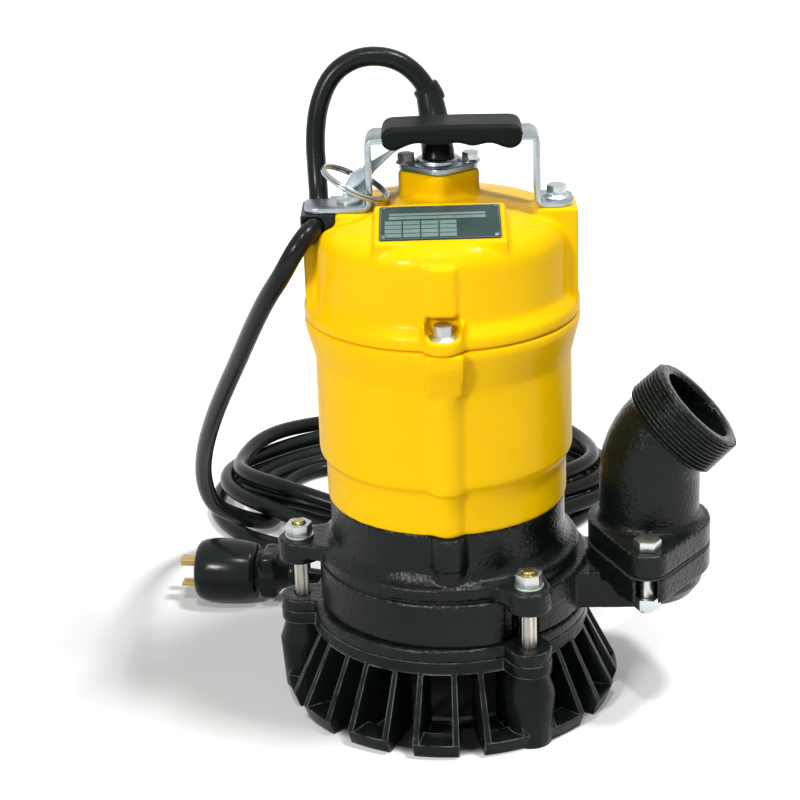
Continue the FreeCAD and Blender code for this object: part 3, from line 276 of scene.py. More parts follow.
def vectors(tree, operation, first, second):
    """One Vector Math node for two vectors."""
    node = add(tree, "VectorMath", {"operation": operation}, Vector=first)
    fill(tree, node.inputs[1], second)
    return node.outputs


def spread(tree, value, low, high, to_low=0.0, to_high=1.0):
    """Maps low..high to to_low..to_high and holds the ends."""
    return add(tree, "MapRange", Value=value, From_Min=low, From_Max=high,
               To_Min=to_low, To_Max=to_high).outputs["Result"]


def blended(tree, share, first, second):
    """Mixes two colours."""
    node = add(tree, "Mix", {"data_type": "RGBA"})
    for number, value in ((0, share), (6, first), (7, second)):
        fill(tree, node.inputs[number], value)
    return node.outputs[2]


def noise(tree, place, scale, detail, roughness=0.5):
    """The grey value of a noise texture."""
    return add(tree, "TexNoise", Vector=place, Scale=scale, Detail=detail,
               Roughness=roughness).outputs["Fac"]


print("node helpers ready")

# %% [markdown]
# ## Floor, background and lamps
# A product shot is made on a sweep of white paper. Here the floor is one pale sheet, and the
# world behind it is white for the camera and for reflections, but only a soft grey as a source of
# light. The sheet glows for the camera in the same way, so it reads as white paper. The glow is
# painted light: it is least on the left, where the pump's shadow lies, and grows to the right.
# Right under the strainer the paper's colour and glow are painted shade, as no light of the room
# gets in there.
# A soft lamp in front on the left models the body. A second one high on the right throws the soft
# shadow to the left. A small lamp above the front puts sparks on the cast paint.

# %% Helpers for the studio
def seen_directly(tree):
    """1 for rays that come from the camera, a mirror or glass, 0 for light that bounces."""
    ray = add(tree, "LightPath").outputs
    either = arithmetic(tree, "MAXIMUM", ray["Is Camera Ray"], ray["Is Glossy Ray"])
    return arithmetic(tree, "MAXIMUM", either, ray["Is Transmission Ray"])


def grey_ramp(tree, value, *stops):
    """A ramp of greys over a value. Each stop is a position and a brightness."""
    node = add(tree, "ValToRGB", Fac=value)
    ramp = node.color_ramp.elements
    ramp[0].position, ramp[1].position = stops[0][0], stops[-1][0]
    for position, _ in stops[1:-1]:
        ramp.new(position)
    for stop, (_, brightness) in zip(ramp, stops):
        stop.color = (brightness, brightness, brightness, 1)
    return node.outputs["Color"]


def soft_lamp(name, place, aim, size, power):
    """A square lamp that looks at a point of the pump."""
    lamp = bpy.data.objects.new(name, bpy.data.lights.new(name, "AREA"))
    lamp.data.shape = "SQUARE"
    lamp.data.size = size
    lamp.data.energy = power
    toward = (Vector(aim) - Vector(place)).to_track_quat("-Z", "Y").to_matrix().to_4x4()
    lamp.matrix_world = Matrix.Translation(place) @ toward
    collection.objects.link(lamp)
    print(name, power, "W at", place)


print("studio helpers ready")

# %% Roll out the paper
shadow_middle = (-0.19, -0.03, 0)
full_glow = 1.35
painted_shade_under_pump, paper_shade = 0.02, 0.74

paper = bmesh.new()
bmesh.ops.create_grid(paper, x_segments=8, y_segments=8, size=4)
floor_mesh = bpy.data.meshes.new("paper_floor")
paper.to_mesh(floor_mesh)
paper.free()
floor = bpy.data.objects.new("paper_floor", floor_mesh)
collection.objects.link(floor)

paper_white = bpy.data.materials.new("paper_white")
paper_white.use_nodes = True
tree = paper_white.node_tree
where = add(tree, "TexCoord").outputs["Object"]
from_pump = add(tree, "VectorMath", {"operation": "LENGTH"}, Vector=where).outputs["Value"]
from_shadow = vectors(tree, "DISTANCE", where, shadow_middle)["Value"]
# painted light: the glow is least round shadow_middle and grows outward, so shadows farther off
# fade
glow = grey_ramp(tree, from_shadow, (0.06, 0.0), (0.22, 0.10), (0.34, 0.42), (0.9, 1.0))
# painted shade: the paper's colour and glow turn dark right under the strainer
shade = grey_ramp(tree, from_pump, (0.084, painted_shade_under_pump), (0.09, paper_shade))
shaded = arithmetic(tree, "MULTIPLY", glow, arithmetic(tree, "MULTIPLY", shade, full_glow))
feed(tree, tree.nodes["Principled BSDF"], Base_Color=shade, Roughness=0.9,
     Specular_IOR_Level=0.0, Emission_Color=(1, 1, 1, 1),
     Emission_Strength=arithmetic(tree, "MULTIPLY", seen_directly(tree), shaded))
floor_mesh.materials.append(paper_white)
print("paper floor", tuple(round(size, 2) for size in floor.dimensions))

# %% Light the studio
soft_fill = 0.16
studio = bpy.context.scene.world or bpy.data.worlds.new("studio")
bpy.context.scene.world = studio
studio.use_nodes = True
tree = studio.node_tree
feed(tree, tree.nodes["Background"], Color=(1, 1, 1, 1),
     Strength=arithmetic(tree, "MULTIPLY_ADD", seen_directly(tree), 1 - soft_fill, soft_fill))
soft_lamp("front_lamp", (-0.95, -1.40, 1.15), aim=(0, 0, 0.16), size=0.30, power=26)
soft_lamp("shadow_lamp", (0.6, -0.15, 1.85), aim=(0, 0, 0.1), size=0.26, power=27)
soft_lamp("spark_lamp", (-0.1, -0.75, 1.7), aim=(0, 0, 0.1), size=0.08, power=8.5)

# %% [markdown]
# ## Shared surface effects
# Several finishes need the same effects: a colour that drifts a little, the lumpy skin that sand
# leaves on a casting under its paint, corners made paler both by handling and as a painted
# highlight, a painted highlight line along a crisp edge, a thin dust on faces that look up, and the
# fine lines of a rolled or drawn metal. Each effect is one node group with named inputs and
# outputs, so that every material can use it with values of its own. All are given the position on
# the piece.

# %% Start a group
def new_group(name, inputs, **outputs):
    """An empty node group. Input rows are name, kind, starting value, outputs are name=kind."""
    group = bpy.data.node_groups.new(name, "ShaderNodeTree")
    group.interface.new_socket("Position", in_out="INPUT", socket_type="NodeSocketVector")
    for label, kind, value in inputs:
        socket = group.interface.new_socket(label, in_out="INPUT", socket_type="NodeSocket" + kind)
        socket.default_value = value
    for label, kind in outputs.items():
        group.interface.new_socket(label, in_out="OUTPUT", socket_type="NodeSocket" + kind)
    print("group", name)
    return group, group.nodes.new("NodeGroupInput").outputs, group.nodes.new("NodeGroupOutput")


# %% Tone drift: a colour that wanders a little over the surface
tone_drift, given, leave = new_group(
    "tone_drift",
    [("Colour", "Color", (0.5, 0.5, 0.5, 1)), ("Patches per metre", "Float", 20.0),
     ("Lightest", "Float", 1.1), ("Darkest", "Float", 0.9)],
    Colour="Color", Patch="Float")
cloud = noise(tone_drift, given["Position"], given["Patches per metre"], 4.0, 0.6)
patch = spread(tone_drift, cloud, 0.3, 0.7)
brightness = spread(tone_drift, patch, 0.0, 1.0, given["Darkest"], given["Lightest"])
drifted = add(tone_drift, "VectorMath", {"operation": "SCALE"}, Vector=given["Colour"],
              Scale=brightness)
feed(tone_drift, leave, Colour=drifted.outputs[0], Patch=patch)

# %% Cast skin: soft lumps and a few pits
cast_skin, given, leave = new_group(
    "cast_skin",
    [("Lumps per metre", "Float", 350.0), ("Pits per metre", "Float", 260.0),
     ("Pit depth", "Float", 0.5)],
    Height="Float")
lumps = noise(cast_skin, given["Position"], given["Lumps per metre"], 3.0, 0.55)
holes = add(cast_skin, "TexVoronoi", Vector=given["Position"], Scale=given["Pits per metre"])
here_and_there = spread(cast_skin, noise(cast_skin, given["Position"], 70.0, 2.0), 0.52, 0.6)
pit = arithmetic(cast_skin, "MULTIPLY", here_and_there,
                 spread(cast_skin, holes.outputs["Distance"], 0.10, 0.28, 1.0, 0.0))
sunk = arithmetic(cast_skin, "MULTIPLY", pit, given["Pit depth"])
feed(cast_skin, leave, Height=arithmetic(cast_skin, "SUBTRACT", lumps, sunk))

# %% Rubbed and highlit edges: outer corners, worn and a painted highlight, broken up so no rim is even
rubbed_and_highlit_edges, given, leave = new_group(
    "rubbed_and_highlit_edges",
    [("From", "Float", 0.53), ("To", "Float", 0.62), ("Gaps", "Float", 0.5)],
    Mask="Float")
curvature = add(rubbed_and_highlit_edges, "NewGeometry").outputs["Pointiness"]
corner = spread(rubbed_and_highlit_edges, curvature, given["From"], given["To"])
kept = arithmetic(rubbed_and_highlit_edges, "SUBTRACT", noise(rubbed_and_highlit_edges, given["Position"], 420.0, 4.0),
                  arithmetic(rubbed_and_highlit_edges, "MULTIPLY", given["Gaps"], 0.9))
feed(rubbed_and_highlit_edges, leave, Mask=arithmetic(rubbed_and_highlit_edges, "MULTIPLY", corner,
                                          spread(rubbed_and_highlit_edges, kept, 0.0, 0.12)))

# %% Edge highlight lines: a thin painted highlight along crisp edges, also on flat meshes with few points
edge_highlight_lines, given, leave = new_group("edge_highlight_lines", [("Width", "Float", 0.001)], Mask="Float")
flat = add(edge_highlight_lines, "NewGeometry").outputs["Normal"]
rounded = add(edge_highlight_lines, "Bevel", Radius=given["Width"]).outputs["Normal"]
line = spread(edge_highlight_lines, vectors(edge_highlight_lines, "DOT_PRODUCT", flat, rounded)["Value"], 0.995, 0.90)
left_over = spread(edge_highlight_lines, noise(edge_highlight_lines, given["Position"], 110.0, 3.0), 0.3, 0.6)
feed(edge_highlight_lines, leave, Mask=arithmetic(edge_highlight_lines, "MULTIPLY", line, left_over))

# %% Settled dust: a thin film on faces that look up
settled_dust, given, leave = new_group("settled_dust", [("Amount", "Float", 0.1)], Mask="Float")
facing = add(settled_dust, "NewGeometry").outputs["Normal"]
upward = add(settled_dust, "SeparateXYZ", Vector=facing).outputs["Z"]
drifts = spread(settled_dust, noise(settled_dust, given["Position"], 90.0, 5.0, 0.7), 0.35, 0.75)
film = arithmetic(settled_dust, "MULTIPLY", spread(settled_dust, upward, 0.35, 0.95), drifts)
feed(settled_dust, leave, Mask=arithmetic(settled_dust, "MULTIPLY", film, given["Amount"]))

# %% Drawn lines: noise pulled long in one direction
drawn_lines, given, leave = new_group(
    "drawn_lines", [("Stretch", "Vector", (60.0, 1800.0, 1800.0))], Lines="Float")
pulled = vectors(drawn_lines, "MULTIPLY", given["Position"], given["Stretch"])[0]
feed(drawn_lines, leave, Lines=noise(drawn_lines, pulled, 1.0, 4.0, 0.65))

# %% [markdown]
# ## One way to write a material
# Each finish is a Principled shader. Numbers that are the same all over the surface are set on the
# shader itself. What changes over the surface comes from the groups above, placed with the
# piece's own object coordinates, so that the pattern stays fixed to the part.

# %% A bench for materials
class Finish:
    """A material being made: its node tree, its colour and its object coordinates."""

    def __init__(self, name, colour, roughness=0.5, metallic=0.0, **fixed):
        self.material = bpy.data.materials.new(name)
        self.material.use_nodes = True
        self.tree = self.material.node_tree
        self.place = add(self.tree, "TexCoord").outputs["Object"]
        self.colour = (*colour, 1)
        self.set(Base_Color=self.colour, Roughness=roughness, Metallic=metallic, **fixed)

    def set(self, **values):
        """Fills inputs of the shader."""
        feed(self.tree, self.tree.nodes["Principled BSDF"], **values)

    def use(self, group, **values):
        """Places one of the shared groups and returns what it gives."""
        settings = {"node_tree": group}
        return add(self.tree, "Group", settings, Position=self.place, **values).outputs

    def tone(self, patches, lightest, darkest):
        """The finish's colour as it drifts over the surface, and the drift itself."""
        return self.use(tone_drift, Colour=self.colour, Patches_per_metre=patches,
                        Lightest=lightest, Darkest=darkest)

    def over(self, share, below, colour, strength=1.0):
        """Lays a plain colour over another where a mask says so."""
        if strength != 1.0:
            share = arithmetic(self.tree, "MULTIPLY", share, strength)
        return blended(self.tree, share, below, (*colour, 1))

    def between(self, share, low, high):
        """A value that wanders between two numbers as a share goes from 0 to 1."""
        return spread(self.tree, share, 0.0, 1.0, low, high)

    def bumped(self, height, depth):
        """Raises the surface by height times depth in metres."""
        bump = add(self.tree, "Bump", Strength=1.0, Distance=depth, Height=height)
        self.set(Normal=bump.outputs["Normal"])


print("bench ready")

# %% [markdown]
# ## Black enamel over rough iron
# The casings and the outlet are cast iron under one coat of black. Up close the paint follows the
# sand skin, so the gloss breaks into small sparks. The skin group gives the lumps, and roughness
# wanders between satin and glossy.

# %% Black enamel
black = Finish("black_enamel_cast", (0.0034, 0.0062, 0.0055), Specular_IOR_Level=0.17)
skin = black.use(cast_skin, Lumps_per_metre=470.0, Pits_per_metre=420.0, Pit_depth=0.3)
tone = black.tone(26.0, lightest=1.35, darkest=0.75)
dust = black.use(settled_dust, Amount=0.05)
# paler corners: rubbed wear, and a painted highlight that stands in for sparks along upper edges
wear_and_highlight = black.use(rubbed_and_highlit_edges, From=0.525, To=0.575, Gaps=0.55)
wear_and_highlight_colour = black.over(wear_and_highlight["Mask"], tone["Colour"], (0.16, 0.19, 0.18), strength=0.6)
black.set(Base_Color=black.over(dust["Mask"], wear_and_highlight_colour, (0.25, 0.24, 0.22)),
          Roughness=black.between(tone["Patch"], 0.09, 0.2))
black.bumped(skin["Height"], 0.00055)
print("enamel", black.material.name)

# %% [markdown]
# ## Yellow enamel
# The aluminium motor housing and head are smoother castings under a thick glossy yellow. A thin
# clear coat gives the sharp lamp reflections over the deep colour, and a slow, shallow bump is the
# orange peel of the spray gun.

# %% Yellow enamel
yellow = Finish("yellow_enamel_gloss", (0.84, 0.49, 0.0), Specular_IOR_Level=0.03,
                Coat_Weight=0.08, Coat_Roughness=0.05)
tone = yellow.tone(14.0, lightest=1.03, darkest=0.94)
peel = yellow.use(cast_skin, Lumps_per_metre=240.0, Pits_per_metre=150.0, Pit_depth=0.05)
dust = yellow.use(settled_dust, Amount=0.05)
yellow.set(Base_Color=yellow.over(dust["Mask"], tone["Colour"], (0.5, 0.40, 0.12)),
           Roughness=yellow.between(tone["Patch"], 0.28, 0.4))
yellow.bumped(peel["Height"], 0.00013)
print("enamel", yellow.material.name)

# %% [markdown]
# ## Plated and bare metals
# The strap, the gland plate and the tab are zinc plated sheet: bluish, half dull, with faint
# rolling lines. The fasteners have a thinner bright plating that turns yellowish in places. The
# split ring is polished wire, and the plug's pins are brass. The metals inside are plain ones.
# Rolling and turning lines are too fine to model, so a noise stretched along them lifts the
# surface by hundredths of a millimetre and changes its gloss. One recipe serves all metals.

# %% Metals
def metal(name, colour, roughness, lines, darkest=0.8, tint=None, depth=0.00002):
    """A metal with fine lines along its length and a slow drift of tone."""
    made = Finish(name, colour, roughness, 1.0)
    shown = made.tone(60.0, lightest=1.08, darkest=darkest)["Colour"]
    drawn = made.use(drawn_lines, Stretch=lines)["Lines"]
    if tint:
        patch = spread(made.tree, noise(made.tree, made.place, 120.0, 3.0), 0.5, 0.62, 0.0, 0.7)
        shown = made.over(patch, shown, tint)
    made.set(Base_Color=shown,
             Roughness=spread(made.tree, drawn, 0.3, 0.7, roughness * 0.75, roughness * 1.3))
    made.bumped(drawn, depth)
    return made.material


zinc = metal("zinc_sheet", (0.34, 0.39, 0.42), 0.33, (60.0, 1500.0, 1500.0))
polished = metal("polished_wire", (0.40, 0.42, 0.42), 0.16, (900.0, 900.0, 900.0), 0.9)
plated = metal("plated_fastener", (0.55, 0.60, 0.61), 0.33, (700.0, 700.0, 90.0),
               tint=(0.50, 0.49, 0.38))
pin_brass = metal("pin_brass", (0.55, 0.38, 0.13), 0.26, (90.0, 900.0, 900.0), 0.85)
turned_steel = metal("turned_steel", (0.56, 0.56, 0.55), 0.22, (120.0, 120.0, 2600.0), 0.88)
lamination = metal("stacked_sheet", (0.30, 0.30, 0.31), 0.45, (50.0, 50.0, 4000.0), 0.7,
                   depth=0.0001)
copper = metal("wound_copper", (0.72, 0.30, 0.14), 0.35, (500.0, 500.0, 2600.0), 0.7, depth=0.0003)
iron = metal("grey_cast_iron", (0.22, 0.22, 0.215), 0.55, (600.0, 600.0, 600.0), 0.75,
             depth=0.0002)
print("metals ready")

# %% [markdown]
# ## Rubber, moulded plastic and the rest
# The cord's jacket and the boot are satin black rubber with a very fine grain, and the bends show
# long soft highlights. The grip is a harder, drier plastic. The plate is slate grey sheet. They
# differ only in numbers, so one recipe makes them all: a colour that drifts, a fine noise as the
# grain of the mould, and a little dust on top.

# %% Rubbers and plastics
def moulded(name, colour, roughness, grain, depth, dusty=0.05, shine=0.5):
    """A rubber or plastic with a fine moulded grain."""
    made = Finish(name, colour, Specular_IOR_Level=shine)
    tone = made.tone(40.0, lightest=1.2, darkest=0.82)
    dust = made.use(settled_dust, Amount=dusty)
    made.set(Base_Color=made.over(dust["Mask"], tone["Colour"], (0.3, 0.29, 0.27)),
             Roughness=made.between(tone["Patch"], roughness * 0.85, roughness * 1.15))
    made.bumped(noise(made.tree, made.place, grain, 4.0, 0.6), depth)
    return made.material


jacket = moulded("cord_rubber", (0.0040, 0.0066, 0.0060), 0.24, 900.0, 0.00007, 0.02, 0.15)
seal_rubber = moulded("seal_rubber", (0.010, 0.012, 0.012), 0.5, 1200.0, 0.0001, shine=0.2)
plug_rubber = moulded("plug_rubber", (0.0050, 0.0075, 0.0068), 0.2, 500.0, 0.00004, 0.02, 0.16)
grip_plastic = moulded("grip_plastic", (0.0060, 0.0085, 0.0078), 0.42, 700.0, 0.0002, 0.02, 0.05)
slate = moulded("slate_plate", (0.022, 0.045, 0.040), 0.32, 1500.0, 0.00002, 0.03, 0.3)
pale_print = moulded("pale_boxes", (0.13, 0.20, 0.19), 0.4, 1500.0, 0.00001)
gasket = moulded("gasket_sheet", (0.022, 0.021, 0.02), 0.75, 1600.0, 0.00008)
ceramic = moulded("seal_ceramic", (0.70, 0.66, 0.58), 0.25, 900.0, 0.00001, shine=0.6)
inner_plastic = moulded("inner_plastic", (0.08, 0.09, 0.10), 0.45, 700.0, 0.00005)
cord.data.materials.append(jacket)
print("rubbers ready")

# %% Dress the pieces whose loaded shape stays
dressed = {
    seal_rubber: ("housing_oring", "cover_oring", "gland_packing"),
    pin_brass: ("oil_plug",),
    grip_plastic: ("handle_grip",),
    slate: ("nameplate",),
    gasket: ("elbow_gasket", "casing_gasket", "oil_plug_washer"),
    lamination: ("stator_core", "rotor_core"),
    copper: ("stator_windings",),
    iron: ("motor_bracket", "upper_bracket", "impeller", "agitator"),
    turned_steel: ("shaft", "lower_bearing", "upper_bearing", "impeller_nut", "seal_rotary"),
    ceramic: ("seal_seats",),
    inner_plastic: ("run_capacitor", "thermal_protector", "oil_lifter"),
}
for material, names in dressed.items():
    for name in names:
        for slot in nodes[name].material_slots:
            slot.material = material
print("dressed", sum(len(names) for names in dressed.values()), "loaded pieces")

# %% [markdown]
# ## Castings with soft edges
# A casting has no sharp corners: molten metal and paint round them all. The measured shape is
# copied, rebuilt as an even skin of small squares and smoothed a few times, which eases every edge
# at once and keeps each wall where it was. Blender's Remesh also fuses solids that overlap, so
# small lumps can be added to the copy first, such as the fuller ribs of the oil casing.

# %% Cast copies
def cast_copy(node, name, material, grain=0.00105, rounds=3, change=None):
    """Replaces a loaded casting by a copy with an even skin and eased edges."""
    work = merged(node)
    if change:
        change(work)
    mesh = bpy.data.meshes.new(name + "_raw")
    work.to_mesh(mesh)
    work.free()
    raw = bpy.data.objects.new(name + "_raw", mesh)
    collection.objects.link(raw)
    skin = raw.modifiers.new("skin", "REMESH")
    skin.mode = "VOXEL"
    skin.voxel_size = grain
    soften = raw.modifiers.new("soften", "SMOOTH")
    soften.factor = 0.5
    soften.iterations = rounds
    ready = raw.evaluated_get(bpy.context.evaluated_depsgraph_get())
    work = bmesh.new()
    work.from_mesh(ready.to_mesh())
    bpy.data.objects.remove(raw)
    return finished(work, name, material, node, crisp=60)


boss_turns = [radians(turn) for turn in (0, 120, 240)]
rib_radius, rib_reach, rib_foot = 0.0096, 0.0628, 0.1


def fuller_ribs(work):
    """Makes the oil casing's upright rib stronger under each of the housing's three bosses."""
    top = max(vert.co.z for vert in work.verts)
    middle = (top + rib_foot) / 2 - 0.0004
    for turn in boss_turns:
        place = Matrix.Rotation(turn, 4, "Z") @ Matrix.Translation((0, -rib_reach, middle))
        bmesh.ops.create_cone(work, cap_ends=True, segments=40, radius1=rib_radius,
                              radius2=rib_radius, depth=top - rib_foot, matrix=place)


cast_copy("suction_cover", "suction_cover_casting", black.material)
cast_copy("pump_casing", "pump_casing_casting", black.material)
cast_copy("oil_casing", "oil_casing_casting", black.material, change=fuller_ribs)
cast_copy("motor_housing", "motor_housing_casting", yellow.material,
          grain=0.00125, rounds=6)

# %% [markdown]
# ## The head and its bolt pockets
# Each of the head's three bolts sits in a scoop of the boss. Behind the bolt the scoop is closed
# by the casting's wall, so a small upright pad is fused in there before the skin is made.

# %% Cast the head
pad_size = (0.0150, 0.0030, 0.0170, 1)
pocket_wall = Matrix.Translation((0, -0.0632, 0.2362)) @ Matrix.Diagonal(pad_size)


def close_pockets(work):
    """Adds the wall behind each of the three bolt pockets."""
    for turn in boss_turns:
        bmesh.ops.create_cube(work, size=1, matrix=Matrix.Rotation(turn, 4, "Z") @ pocket_wall)


cast_copy("head_cover", "head_cover_casting", yellow.material,
          grain=0.0012, rounds=6, change=close_pockets)

# %% [markdown]
# ## The outlet and its pipe thread
# The outlet bends half way up and ends in a two inch pipe thread. The nipple is first turned down
# to the root of the thread. The thread itself is one blunt V, spun round the nipple's axis while
# it moves on by one pitch a turn. It is cut square at both ends and narrows a little to its mouth,
# as a pipe thread does.

# %% Turn the nipple down
azimuth = radians(-6.7)
outward = Vector((cos(azimuth), sin(azimuth), 0))
nipple_axis = (outward + Vector((0, 0, 1))).normalized()
nipple_foot = outward * 0.12096 + Vector((0, 0, 0.15364))
root_radius = 0.0287
turned_from, turned_to = 0.0012, 0.0235


def turn_down(work):
    """Brings the nipple's outside to the thread's root."""
    for vert in work.verts:
        along = (vert.co - nipple_foot).dot(nipple_axis)
        off = vert.co - nipple_foot - nipple_axis * along
        if turned_from < along < turned_to and off.length > root_radius:
            vert.co -= off * (1 - root_radius / off.length)


cast_copy("discharge_elbow", "discharge_elbow_casting", black.material,
          change=turn_down)

# %% Paint for the thread
thread_black = Finish("black_enamel_thread", (0.006, 0.0092, 0.0085), 0.22, Specular_IOR_Level=0.22)
tone = thread_black.tone(90.0, lightest=1.5, darkest=0.7)
# paler crests: rubbed wear, and a painted highlight on the thread
wear_and_highlight = thread_black.use(rubbed_and_highlit_edges, From=0.52, To=0.6, Gaps=0.45)
thread_black.set(Base_Color=thread_black.over(wear_and_highlight["Mask"], tone["Colour"], (0.10, 0.105, 0.10),
                                              strength=0.35))
thread_black.bumped(noise(thread_black.tree, thread_black.place, 900.0, 3.0), 0.00006)
print("paint", thread_black.material.name)

# %% Cut the thread
pitch_of_thread = 0.00221
thread_length = 0.0202
narrowing = 0.9
steps_a_turn = 80
# the V as radius and share of the pitch
profile = ((0.0284, -0.02), (0.0298, 0.30), (0.03035, 0.44), (0.03035, 0.58), (0.0298, 0.72),
           (0.0284, 1.0))
rounds = int(thread_length / pitch_of_thread) + 3
thread = bmesh.new()
path = [thread.verts.new((radius, 0, (share - 1) * pitch_of_thread)) for radius, share in profile]
edges = [thread.edges.new(pair) for pair in zip(path, path[1:])]
bmesh.ops.spin(thread, geom=path + edges, cent=(0, 0, 0), axis=(0, 0, 1), angle=2 * pi * rounds,
               dvec=(0, 0, pitch_of_thread / steps_a_turn), steps=steps_a_turn * rounds)
bmesh.ops.remove_doubles(thread, verts=thread.verts, dist=1e-5)
for height, side in ((0.0, -1), (thread_length, 1)):
    bmesh.ops.bisect_plane(thread, geom=everything(thread), plane_co=(0, 0, height),
                           plane_no=(0, 0, side), clear_outer=True)
for vert in thread.verts:
    vert.co.xy *= 1 - vert.co.z * narrowing
put(thread, Matrix.Translation(nipple_foot + nipple_axis * 0.0016) @ z_towards(nipple_axis))
finished(thread, "outlet_thread", thread_black.material, crisp=40)

# %% [markdown]
# ## Crisp pieces with a small chamfer
# The strainer's fins, the sheet metal and the fasteners have clear edges, which still catch a
# thin line of light. Their copies are merged, their flat faces are joined, and every sharp edge
# gets a narrow bevel. This keeps them exact and costs few faces. The heads of the bolts on top
# look smaller in the photo than in the model, so they are narrowed first.

# %% Eased copies
flat_enough, sharp_enough = radians(0.8), radians(26)
head_reach = 0.0085


def eased_copy(node, name, material, width, steps=2, change=None):
    """Replaces a loaded piece by a copy whose sharp edges have a narrow bevel."""
    work = merged(node)
    if change:
        change(work)
    bmesh.ops.dissolve_limit(work, angle_limit=flat_enough, verts=work.verts, edges=work.edges)
    sharp = [edge for edge in work.edges
             if edge.is_manifold and edge.calc_face_angle(0) > sharp_enough]
    bmesh.ops.bevel(work, geom=sharp, offset=width, offset_type="OFFSET", affect="EDGES",
                    segments=steps, profile=0.5, material=-1, clamp_overlap=True)
    return finished(work, name, material, node, crisp=35)


def shrink_heads(places, above, share):
    """Makes bolt heads narrower: scales what is above a level round each bolt's axis."""
    def change(work):
        for place in places:
            middle = Vector(place)
            for vert in work.verts:
                if vert.co.z > above and (vert.co.xy - middle).length < head_reach:
                    vert.co.xy = middle + (vert.co.xy - middle) * share
    return change


print("bevels edges sharper than", round(sharp_enough, 3), "radians")

# %% Fasteners, sheet metal and pins
bolt_circle = 0.0715
cover_spots = [(bolt_circle * sin(turn), -bolt_circle * cos(turn)) for turn in boss_turns]
eased_copy("cover_bolts", "cover_bolt_set", plated, 0.0004,
           change=shrink_heads(cover_spots, above=0.2322, share=0.7))
eased_copy("handle_bolts", "handle_bolt_set", plated, 0.0004,
           change=shrink_heads([(0.0612, -0.006)], above=0.2858, share=0.7))
for node, name, width in (("elbow_bolts", "elbow_bolt_set", 0.0004),
                          ("elbow_nuts", "elbow_nut_set", 0.0004),
                          ("stud_nuts", "stud_nut_set", 0.0005),
                          ("stud_washers", "stud_washer_set", 0.0002)):
    eased_copy(node, name, plated, width)
eased_copy("gland_plate", "gland_flange", zinc, 0.0009, steps=3)
for node, name, width in (("handle_strap", "handle_bracket", 0.0005),
                          ("rope_tab", "rope_stay", 0.0004),
                          ("nameplate_rivets", "plate_pins", 0.0002)):
    eased_copy(node, name, zinc, width)
screw_spots = [(-0.0169, 0.008), (0.0169, 0.008)]
screws = eased_copy("gland_screws", "gland_screw_pair", iron, 0.0004,
                    change=shrink_heads(screw_spots, above=0.3018, share=0.8))
# the right screw is plated; the left one gets the dark iron finish, which is painted shade
screws.data.materials.append(plated)
for face in screws.data.polygons:
    face.material_index = 1 if face.center.x > 0 else 0
blades = eased_copy("plug_blades", "plug_blade_pair", pin_brass, 0.0003)
earth_pin = eased_copy("ground_pin", "plug_ground_pin", pin_brass, 0.0006)

# %% [markdown]
# ## Studs with yellow ends
# The three long studs hold the wet end together. Their shafts are dull silver, and their short
# ends above the nuts keep a yellow chromate colour. The colour changes with height, so the height
# in object coordinates picks it.

# %% Studs
stud_spots = [Vector((0.083 * cos(turn), 0.083 * sin(turn))) for turn in (pi, -pi / 3, pi / 3)]
end_height, end_share = 0.1005, 0.78


def lower_ends(work):
    """The studs stand only a thread or so above their nuts, and are a little thinner there."""
    bmesh.ops.bisect_plane(work, geom=everything(work), plane_co=(0, 0, 0.0965), plane_no=(0, 0, 1))
    for vert in work.verts:
        if vert.co.z > 0.1:
            middle = min(stud_spots, key=lambda spot: (spot - vert.co.xy).length)
            vert.co.z = end_height
            vert.co.xy = middle + (vert.co.xy - middle) * end_share


studs = Finish("stud_plating", (0.60, 0.58, 0.52), 0.33, 1.0)
tone = studs.tone(70.0, lightest=1.1, darkest=0.8)
height = add(studs.tree, "SeparateXYZ", Vector=studs.place).outputs["Z"]
ends = spread(studs.tree, height, 0.0975, 0.0990)
studs.set(Base_Color=studs.over(ends, tone["Colour"], (0.40, 0.36, 0.14)))
studs.bumped(studs.use(drawn_lines, Stretch=(1400.0, 1400.0, 120.0))["Lines"], 0.00003)
eased_copy("casing_studs", "stud_set", studs.material, 0.0006, change=lower_ends)

# %% [markdown]
# ## The strainer
# The strainer is one iron casting: pairs of splayed fins under a ring. Its corners show a paler
# line, a painted highlight with a little rubbing, and its skin is a finer black enamel. The mesh
# has too few points for the curvature that the other black castings use, so a Bevel node finds the
# edges.

# %% Strainer
fins = Finish("black_enamel_fins", (0.0042, 0.0068, 0.0062), Specular_IOR_Level=0.12)
skin = fins.use(cast_skin, Lumps_per_metre=620.0, Pits_per_metre=300.0, Pit_depth=0.3)
tone = fins.tone(30.0, lightest=1.3, darkest=0.7)
# the pale line is a painted highlight along the fins' edges
line = fins.use(edge_highlight_lines, Width=0.0011)
fins.set(Base_Color=fins.over(line["Mask"], tone["Colour"], (0.26, 0.30, 0.30), strength=0.6),
         Roughness=fins.between(tone["Patch"], 0.12, 0.28))
fins.bumped(skin["Height"], 0.00036)
eased_copy("strainer", "strainer_casting", fins.material, 0.0006)

# %% [markdown]
# ## Boot and cord clamp
# A tapered rubber sleeve stands in the gland and bends back with the cord, so that the cord
# never kinks at its exit. It ends in a thicker collar. Under the handle's left foot a rubber block
# grips the cord. Both are soft mouldings, so they get the even skin too.

# %% Rubber boot and block
cast_copy("cable_boot", "cable_boot_sleeve", jacket, grain=0.0007, rounds=4)
cast_copy("cord_clamp", "cord_clamp_block", jacket, grain=0.0006, rounds=4)

